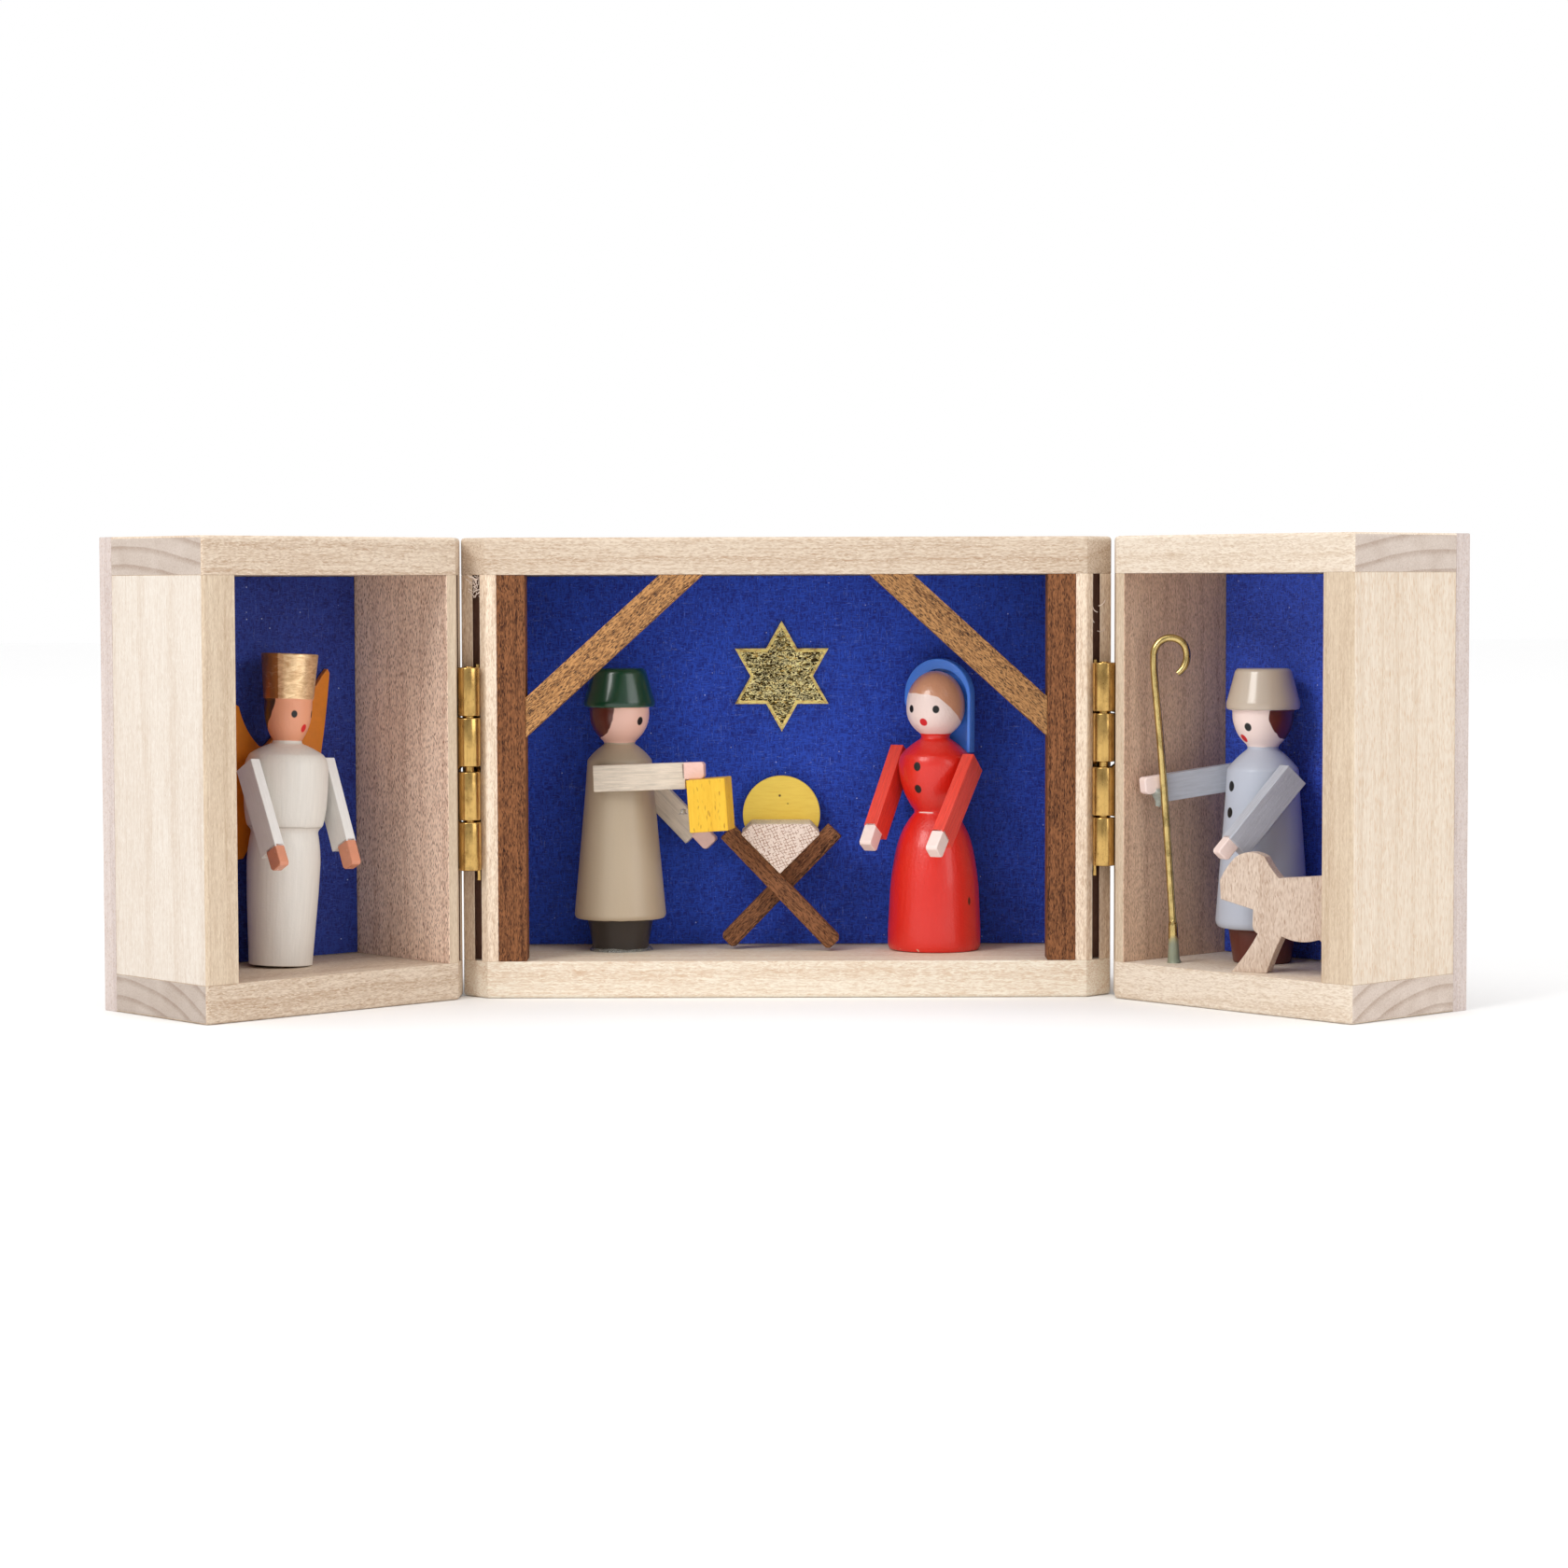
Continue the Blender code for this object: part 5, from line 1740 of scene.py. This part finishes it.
@dataclass
class Mary(Doll):
    """She stands at the right, her hands held out and a veil behind her head."""

    def profile(self) -> Outline:
        """Round head, narrow waist and a bell skirt."""
        angles = [math.radians(6 * step) for step in range(16)]
        crown = [(3.22 * math.sin(angle), 27.11 + 3.71 * math.cos(angle)) for angle in angles]
        return crown[:-1] + drawn(
            crown[-1], (1.75, 23.93, 0.5), (1.59, 23.72), (1.59, 23.35), (3.82, 21.53, 0.12, 6), (4.05, 20.19, 0.1, 4),
            (2.27, 15.38, 0.38), (2.27, 15.12), (4.21, 11.28, 0.28), (4.92, 6.41, 0.1, 6), (5.13, 1.99), (5.13, 0.48),
            (4.95, 0.0), (0.0, 0.0),
        )

    def paint(self, coats: Callable[[Paint], Coats]) -> Material:
        """Red dress with two buttons, pale face and brown hair."""
        paint = coats(Paint(tint(230, 38, 22), 0.38, 0.34, brush=0.22, shade=0.8))
        z, around = paint.height, abs(paint.turn)
        paint.over(z.rise(23.88, 23.96), PALE_SKIN)
        stops = [(0.0, 0.05), (0.18, 0.3), (0.26, 0.86), (0.35, 0.92), (0.5, 0.91), (0.54, 0.89), (0.6, 0.78)]
        stops += [(0.665, 0.52), (0.725, 0.28), (0.785, 0.12), (0.9, 0.06), (1.0, 0.05)]
        line = paint.finish.ramp(paint.turn / 360.0 + 0.5, stops) * 4.0 + 24.7
        paint.over((z - line).rise(-0.05, 0.05), Paint(tint(216, 156, 122), 0.28, 0.7, brush=0.3, shade=0.8))
        paint.eyes(28.0, 26.67, 0.38, 1.12)
        paint.dot(0.0, 25.22, 0.45, LIPS, 1.05)
        for turn, height in ((-2.0, 20.4), (-4.0, 17.9)):
            paint.dot(turn, height, 0.42, BLACK, 1.2)
        chips = paint.finish.noise((1.5, 1.5, 1.0), 4.0, 0.7).rise(0.62, 0.7) * z.rise(0.75, 0.3)
        paint.over(chips, BARE)
        # A painted highlight: a pale line round the front of the narrow waist
        waist_highlight = z.rise(15.16, 15.2) * z.rise(15.34, 15.3) * (around - 14.0).rise(12.0, 3.0)
        paint.over(waist_highlight, Paint(tint(250, 214, 206), 0.5, brush=0.1))
        paint.dot(78.0, 5.6, 0.2, Paint(tint(90, 40, 20), 0.6, brush=0.2), 2.2)
        return paint.done(0.14)

    def extras(self, profile: Outline) -> None:
        """The veil, cut from a thin board and hollowed to fit behind the head."""
        whole, inside = self.arch(4.1, 21.8, -0.36, 28.05), self.arch(3.42, 20.0, 0.0, 27.62)
        veil = Shape.upright(whole, 1.0, 1.3).eased(0.16)
        veil = hollowed(veil, Shape.upright(inside, 0.0, 1.9))
        clear = [(radius + 0.04, height) if radius else (0.0, height + 0.04) for radius, height in profile]
        veil = hollowed(veil, Shape.turned(clear, 64))
        paint = Paint(tint(74, 139, 250), 0.32, 0.25, brush=0.15, shade=0.86)
        finishes = [paint.on("mary_veil_paint", self.stand, (1.2, 1.2, 0.6))]
        veil.piece("mary_veil", self.stand, self.body, Slot.VEIL, finishes, smooth=32)

    @staticmethod
    def arch(half: float, low: float, middle: float, spring: float) -> Outline:
        """An arch that wide over the head, from low up to its spring, whose far side is cut back towards the neck."""
        outline = [(-0.5, low), (middle + half, low)]
        for step in range(49):
            angle = math.radians(180 * step / 48)
            outline.append((middle + half * math.cos(angle), spring + half * math.sin(angle)))
        return outline + [(middle - half, spring - 0.9), (middle - half + 0.5, spring - 1.9)]


def hollowed(shape: Shape, cutter: Shape) -> Shape:
    """Cut one closed shape out of another."""
    whole, tool = shape.loose(), cutter.loose()
    modifier = whole.modifiers.new("hollow", "BOOLEAN")
    modifier.operation = "DIFFERENCE"
    modifier.object = tool
    modifier.solver = "EXACT"
    result = Shape.of_object(whole)
    bpy.data.objects.remove(tool)
    return result


@dataclass
class Angel(Doll):
    """She stands in the left wing tray, with a pair of wings cut from one board on her back."""

    def profile(self) -> Outline:
        """Tall crown, broad chest and a straight gown."""
        return drawn(
            (0.0, 33.09), (3.03, 33.09), (2.66, 28.31), (2.52, 28.1), (2.52, 27.3), (1.62, 24.0, 0.25), (1.53, 23.9),
            (1.57, 23.55), (3.9, 22.4, 0.08, 5), (4.42, 21.1, 0.1, 4), (4.4, 17.4, 0.05, 4), (4.16, 15.4, 0.04, 3),
            (4.03, 14.82), (3.64, 14.42), (3.54, 14.12), (3.9, 10.8, 0.08, 5), (3.79, 7.45), (3.38, 0.3), (3.38, 0.0),
            (0.0, 0.0),
        )

    def paint(self, coats: Callable[[Paint], Coats]) -> Material:
        """White gown, salmon face, dark hair and a bronze crown."""
        paint = coats(Paint(tint(232, 226, 217), 0.42, 0.1, brush=0.4, shade=0.84))
        front = 15.0
        z = paint.height
        paint.over(z.rise(23.8, 23.9), Paint(tint(234, 160, 124), 0.38, 0.1, brush=0.12, shade=0.9))
        stops = [(0.0, 1.0), (0.2, 0.75), (0.45, 0.58), (0.7, 0.5), (1.0, 0.45)]
        paint.hair(stops, 24.1, Paint(tint(70, 44, 26), 0.35, 0.3, brush=0.3, shade=0.7), 24.0, 4.5, front)
        paint.wrinkled(z.rise(28.26, 28.34), tint(250, 218, 172), tint(176, 118, 66))
        paint.eyes(33.0, 26.7, 0.33, 1.2, front - 2.0)
        paint.dot(front, 25.2, 0.37, LIPS, 1.3)
        # Painted shade: a grey band under the chest's edge, at the waist
        waist = z.rise(14.6, 14.66) * z.rise(14.82, 14.74)
        paint.over(waist * 0.5, Paint(tint(170, 158, 146), 0.5, brush=0.2))
        return paint.done(0.05)

    def extras(self, profile: Outline) -> None:
        """The wings."""
        half = drawn(
            (0.0, 14.5), (2.05, 11.0), (2.9, 10.9), (7.73, 22.4, -0.9), (8.55, 31.2, -0.1),
            (8.26, 31.7), (7.47, 30.8), (3.17, 27.3, 0.5), (0.37, 23.06, 0.4),
        )
        outline = half + [(-x, z) for x, z in reversed(half) if x]
        shape = Shape.upright(outline, 4.45, 0.7).eased(0.1, segments=2)
        paint = Paint(tint(226, 130, 20), 0.46, 0.05, brush=0.35, shade=0.68)
        finishes = [paint.on("angel_wings_paint", self.stand, (0.9, 0.9, 0.5))]
        shape.piece("angel_wings", self.stand, self.body, Slot.WINGS, finishes)


@dataclass
class Shepherd(Doll):
    """He stands in the right wing tray and holds a crook out."""

    def profile(self) -> Outline:
        """Wide hat, coat and boots."""
        return hat_and_head(
            (2.7, 31.38), (3.06, 30.85), (3.93, 27.6), (3.25, 26.95), (1.7, 23.2, 0.5), (1.6, 22.82),
            (3.8, 20.64, 0.12, 6), (3.94, 18.05), (4.96, 4.57), (4.64, 3.77, 0.1, 4), (3.58, 3.6), (3.06, 0.0),
            (0.0, 0.0),
        )

    def paint(self, coats: Callable[[Paint], Coats]) -> Material:
        """Grey-blue coat with two buttons, maroon boots and hair, beige hat."""
        paint = coats(Paint(tint(190, 196, 210), 0.4, 0.15, brush=0.2, shade=0.86))
        z = paint.height
        paint.over(z.rise(23.0, 23.1), PALE_SKIN)
        stops = [(0.0, 1.0), (0.2, 0.82), (0.25, 0.6), (0.42, 0.48), (0.7, 0.4), (1.0, 0.4)]
        paint.hair(stops, 23.8, Paint(tint(96, 36, 30), 0.3, 0.35, brush=0.35, shade=0.7))
        paint.over(z.rise(27.0, 27.05), Paint(tint(200, 184, 166), 0.32, 0.8, brush=0.2, shade=0.9))
        paint.eyes(28.5, 25.2, 0.42, 1.12)
        paint.dot(3.5, 23.95, 0.46, LIPS, 1.25)
        for height in (18.9, 16.1):
            paint.dot(2.0, height, 0.5, BLACK, 1.12)
        paint.over(z.rise(3.76, 3.62), Paint(tint(102, 42, 30), 0.4, 0.15, brush=0.3, shade=0.75))
        return paint.done()


@dataclass
class Crook:
    """A bent brass wire whose foot is set in the floor."""

    body: Body
    stand: Matrix
    wire: float = 0.4
    hook: Flat = (-0.43, 32.9)
    hook_radius: float = 1.84

    def path(self) -> list[Point]:
        """The wire's (across, up, thickness) from its foot to the tip of its hook."""
        points = [(0.0, 0.0, 1.95), (-0.05, 0.5, 1.6), (-0.08, 2.2, 1.35), (-0.15, 4.4, 1.2), (-0.19, 4.8, 1.0)]
        points += [(-0.75, 13.11, 1.0), (-1.5, 23.04, 1.0), (-2.2, 30.5, 1.0)]
        radius = self.hook_radius
        for step in range(16):
            angle = math.radians(184 - 16.6 * step)
            thick = 1.0 if step < 14 else 1.0 - 0.08 * (step - 13)
            height = self.hook[1] + radius * math.sin(angle) - 0.1 * max(0, step - 9)
            points.append((self.hook[0] + radius * math.cos(angle), height, thick))
            radius -= 0.015
        return points

    def build(self, tree: NodeTree) -> None:
        """Sweep the wire along its path."""
        curve = bpy.data.curves.new("crook_path", "CURVE")
        curve.dimensions = "3D"
        path = self.path()
        spline = curve.splines.new("POLY")
        spline.points.add(len(path) - 1)
        for point, (x, z, thick) in zip(spline.points, path):
            point.co = (x, 0.0, z, 1.0)
            point.radius = thick
        wire = Brass(tint(212, 186, 122), tint(92, 76, 40), (3.5, 3.5, 0.5), verdigris=3.0)
        brass = wire.on("crook_brass", self.stand)
        shape = Shape.grown(curve, tree, {"Wire": self.wire, "Step": 0.22, "Sides": 20, "Material": brass}).outward()
        shape.piece("shepherd_crook", self.stand, self.body, Slot.BRASS, [brass], smooth=50)
        blob = drawn((0.0, 0.0), (0.35, 0.15, 0.05), (0.85, 1.3, 0.15), (0.5, 1.75, 0.1), (0.0, 1.8))
        place = self.stand @ at(-1.6, 0.6, 16.55) @ Matrix.Diagonal((1.15, 0.8, 1.15, 1.0))
        glue = [Glue(tint(176, 186, 176), 0.8).on("crook_glue_clear", place)]
        Shape.turned(blob, 24).piece("crook_glue_looks", place, self.body, Slot.SHEPHERD, glue, smooth=60, extra=True)


@dataclass
class Sheep:
    """A flat sheep sawn from one board."""

    body: Body
    stand: Matrix
    thick: float = 1.6

    def build(self) -> None:
        """Saw it out, its fibres upright."""
        outline = drawn(
            (-3.05, 7.53), (0.59, 6.57), (0.53, 4.93), (1.13, 4.08, -0.15), (-1.82, 0.0, 0.15), (2.15, 0.0),
            (3.8, 3.9, 0.1), (7.9, 3.74, -0.4), (8.9, 2.6, 0.1), (8.6, 0.0), (11.2, 0.0), (10.9, 4.2, 0.2),
            (11.3, 7.6, -0.15), (9.9, 10.55, -0.4), (3.45, 9.95, 0.05), (1.87, 12.09, 0.1), (-1.42, 11.97, -0.5),
            (-3.14, 9.48, -0.15),
        )
        shape = Shape.upright(outline, 0.0, self.thick).eased(0.07, segments=2)
        wood = replace(
            BEECH.toned(0.82), fleck_size=(0.15, 0.15, 0.8), flecks=0.45, curls=2.0, glints=1.0, slant=0.05
        )
        finishes = [wood.on("sheep_wood", self.stand, seed=7.0)]
        shape.piece("sheep", self.stand, self.body, Slot.PALE_BEECH, finishes)


# --- the studio ---


@dataclass
class Lamp:
    """A soft rectangular light that looks at a point, in metres and watts."""

    name: str
    place: Point
    aim: Point
    size: Flat
    power: float
    colour: Colour = (1.0, 1.0, 1.0)

    def build(self) -> None:
        """Hang it."""
        light = bpy.data.lights.new(self.name, "AREA")
        light.shape = "RECTANGLE"
        light.size, light.size_y = self.size
        light.energy = self.power
        light.color = self.colour
        obj = linked(self.name, light)
        obj.location = self.place
        obj.rotation_euler = (Vector(self.aim) - Vector(self.place)).to_track_quat("-Z", "Y").to_euler()


@dataclass
class Studio:
    """A pale floor, soft lights, an even pale surround and the camera."""

    ambient: float = 0.5
    above: float = 1.75
    eye: Point = (0.212, -392.947, 44.161)
    pitch: float = 3.157
    yaw: float = -0.074
    roll: float = -0.148
    lens: float = 82.06

    def surround(self) -> None:
        """Even light from all round, and a white ground behind the object."""
        world = bpy.data.worlds.new("surround")
        world.use_nodes = True
        tree = Tree(world.node_tree)
        camera = tree.node("ShaderNodeLightPath").outputs["Is Camera Ray"]
        sockets = {"Strength": Value(tree, camera) * (1.0 - self.ambient) + self.ambient}
        ground = tree.made("ShaderNodeBackground", None, {"Color": (1.0, 1.0, 1.0), **sockets})
        tree.node("ShaderNodeOutputWorld", None, {"Surface": ground})
        bpy.context.scene.world = world

    def floor(self) -> None:
        """A wide pale floor, darker near the object as painted shade and lighter far off as painted light."""
        shape = Shape.block((-2500.0, -2500.0, -4.0), (2500.0, 2500.0, 0.0))
        mesh = bpy.data.meshes.new("studio_floor")
        shape.moved(Matrix.Scale(MM, 4)).mesh.to_mesh(mesh)
        finish = Finish("floor_paint", at(0.0, 0.0))
        cloud = finish.noise((0.02, 0.02, 0.02), 2.0)
        # Painted shade near the object, and painted light far off where the lamps' light falls off
        far = finish.y.rise(-160.0, 260.0)
        colour = finish.mix(far + (cloud - 0.5) * 0.1, (0.885, 0.884, 0.882), (0.98, 0.98, 0.98))
        mesh.materials.append(finish.done(colour, 0.6, specular=0.2))
        linked("studio_floor", mesh)

    def overhead(self) -> None:
        """An even soft light from straight above."""
        light = bpy.data.lights.new("overhead", "SUN")
        light.energy, light.angle = self.above, math.radians(75)
        linked("overhead", light)

    def camera(self) -> None:
        """The camera in front of the open box, level with its floor and looking a little down."""
        pitch, yaw, roll = (math.radians(a) for a in (self.pitch, self.yaw, self.roll))
        ahead = Vector((math.sin(yaw) * math.cos(pitch), math.cos(yaw) * math.cos(pitch), -math.sin(pitch)))
        level = Vector((math.cos(yaw), -math.sin(yaw), 0.0))
        raised = level.cross(ahead)
        right = level * math.cos(roll) + raised * math.sin(roll)
        up = raised * math.cos(roll) - level * math.sin(roll)
        data = bpy.data.cameras.new("camera")
        data.lens, data.sensor_width, data.clip_start = self.lens, 36.0, 0.01
        obj = linked("camera", data)
        obj.matrix_world = Matrix.Translation(Vector(self.eye) * MM) @ axes(right, up, -ahead)
        bpy.context.scene.camera = obj

    def build(self) -> None:
        """Set everything up."""
        self.surround()
        self.floor()
        self.camera()
        middle = (0.0, 0.0, 0.025)
        for lamp in (
            Lamp("key", (-0.48, -0.5, 0.5), middle, (0.34, 0.34), 2.9, (1.0, 0.99, 0.975)),
            Lamp("fill", (0.6, -0.5, 0.28), middle, (0.5, 0.4), 1.5, (0.985, 0.99, 1.0)),
        ):
            lamp.build()
        self.overhead()
        bpy.context.scene.view_settings.view_transform = "Standard"


def wing_place(joint: dict[str, Any]) -> Matrix:
    """A wing tray's frame at its hinge, from how far it can swing back to lie on the centre tray."""
    x, y = (value / MM for value in joint["pos_m"][:2])
    return at(x, y, 0.0, (180.0 - joint["range_deg"][1]) * joint["axis"][2])


def trays(left: Matrix, right: Matrix) -> None:
    """The three trays in their frames, and the fibres torn at the centre one's hinges."""
    center = Tray(
        "center", Body.CENTER, at(0.0, 0.0), left=-35.0, right=35.0, rim=RIM_Y, depth=18.0, hinged=(-1, 1),
        sides=("left_side", "right_side"), seed=1.0, top=Stock(MAPLE.toned(0.81)), bottom=Stock(CREAM),
        front=MAPLE.toned(1.05),
    )
    center.build()
    Tray(
        "left_wing", Body.LEFT, left, left=-33.9, right=1.14, rim=0.06, depth=16.5, hinged=(1,),
        sides=("outer_side", "hinge_side"), seed=11.0, top=Stock(MAPLE.toned(0.89)),
        bottom=Stock(MAPLE.toned(0.85), MAPLE_ENDS.toned(0.93)), side=CALM.toned(0.91), front=RIM.toned(0.88),
        # The left wing's paper is a darker, greyer copy of the blue, as painted shade
        paper=Paper(tint(50, 70, 158), tint(31, 34, 100), tint(110, 124, 190)),
    ).build()
    Tray(
        "right_wing", Body.RIGHT, right, left=-1.15, right=33.9, rim=0.06, depth=16.5, hinged=(-1,),
        sides=("hinge_side", "outer_side"), seed=21.0, top=Stock(PALE, MAPLE_ENDS.toned(1.13)),
        bottom=Stock(PALE, MAPLE_ENDS.toned(1.2)), side=FLECKED.toned(0.95), front=RIM.toned(0.84), wall=INNER_PAINTED_SHADE,
        # The right wing's paper is a lighter copy of the blue, as painted light
        paper=Paper(tint(68, 100, 222), tint(46, 56, 150), tint(150, 168, 236)),
    ).build()
    fibres = fibre_tree()
    center.torn(fibres, "left_kerf_fibres", -1, low=43.1, count=26, pitch=0.09)
    center.torn(fibres, "right_kerf_fibres", 1, low=39.5, count=4, pitch=0.9)


def figures(left: Matrix, right: Matrix) -> None:
    """The turned figures, the crook and the sheep, where they stand in their trays."""
    Joseph(
        "joseph", Body.CENTER, at(-18.48, RIM_Y + 12.5, FLOOR_Z, 80.7), Slot.JOSEPH,
        (Arm(1, (-1.88, 19.24), 92.2), Arm(-1, (0.5, 19.92), 44.4)),
        Paint(tint(226, 211, 192), 0.5, brush=0.9, shade=0.7),
        Paint(tint(242, 200, 188), 0.4, 0.2, brush=0.5, shade=0.88),
    ).build()
    tipped = Matrix.Rotation(math.radians(0.4), 4, "Y") @ at(0.0, 0.0, 0.0, -29.8)
    Mary(
        "mary", Body.CENTER, at(16.3, RIM_Y + 12.4, FLOOR_Z + 0.03) @ tipped, Slot.MARY,
        (
            Arm(1, (-1.37, 21.71), 35.4, 1.6, sleeve=10.7, hand_long=2.3),
            Arm(-1, (0.3, 20.89), 41.8, sleeve=10.95, hand_long=2.3),
        ),
        Paint(tint(242, 74, 58), 0.36, 0.2, brush=1.0, shade=0.76), PALE_SKIN, (0.0, 0.7),
    ).build()
    lean, foot = math.radians(2.8), 3.38
    lifted = at(-17.0, 11.06, FLOOR_Z + foot * math.sin(lean))
    Angel(
        "angel", Body.LEFT, left @ lifted @ Matrix.Rotation(lean, 4, "Y"), Slot.ANGEL,
        (Arm(1, (0.2, 21.2), 29.0, 1.15), Arm(-1, (-0.55, 21.5), 26.2, 1.2, sleeve=9.75, hand_long=2.6)),
        Paint(tint(240, 237, 233), 0.45, brush=0.4, shade=0.84),
        Paint(tint(222, 146, 112), 0.24, 0.5, brush=0.4, shade=0.84),
        (0.12, 1.5),
    ).build()
    Shepherd(
        "shepherd", Body.RIGHT, right @ at(12.78, 11.06, FLOOR_Z, -19.8), Slot.SHEPHERD,
        (
            Arm(1, (0.3, 19.7), 83.3, sleeve=9.3, hand_long=2.4),
            Arm(-1, (-0.8, 20.33), 43.0, 1.8, hand_long=1.9, hand_high=1.55),
        ),
        Paint(tint(194, 198, 208), 0.36, 0.15, brush=0.6, shade=0.76), PALE_SKIN,
    ).build()
    Crook(Body.RIGHT, right @ at(6.93, 3.6, FLOOR_Z, 47.94)).build(wire_tree())
    Sheep(Body.RIGHT, right @ at(18.5, 2.0, FLOOR_Z, 17.94)).build()


def main() -> None:
    """Build the shrine and its studio."""
    logging.basicConfig(level=logging.INFO, format="%(message)s")
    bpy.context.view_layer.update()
    joints = {joint["child"]: joint for joint in frame["joints"]}
    left, right = (wing_place(joints[body.value]) for body in (Body.LEFT, Body.RIGHT))
    trays(left, right)
    knuckles = knuckle_tree()
    Hinge(-1, Body.LEFT, left, foot=13.86, center_owns=(0, 2)).build(knuckles)
    Hinge(1, Body.RIGHT, right, foot=14.21, center_owns=(1, 3)).build(knuckles)
    TimberFrame().build()
    Star().build()
    Crib().build()
    figures(left, right)
    Studio().build()


if __name__ == "__main__":
    main()
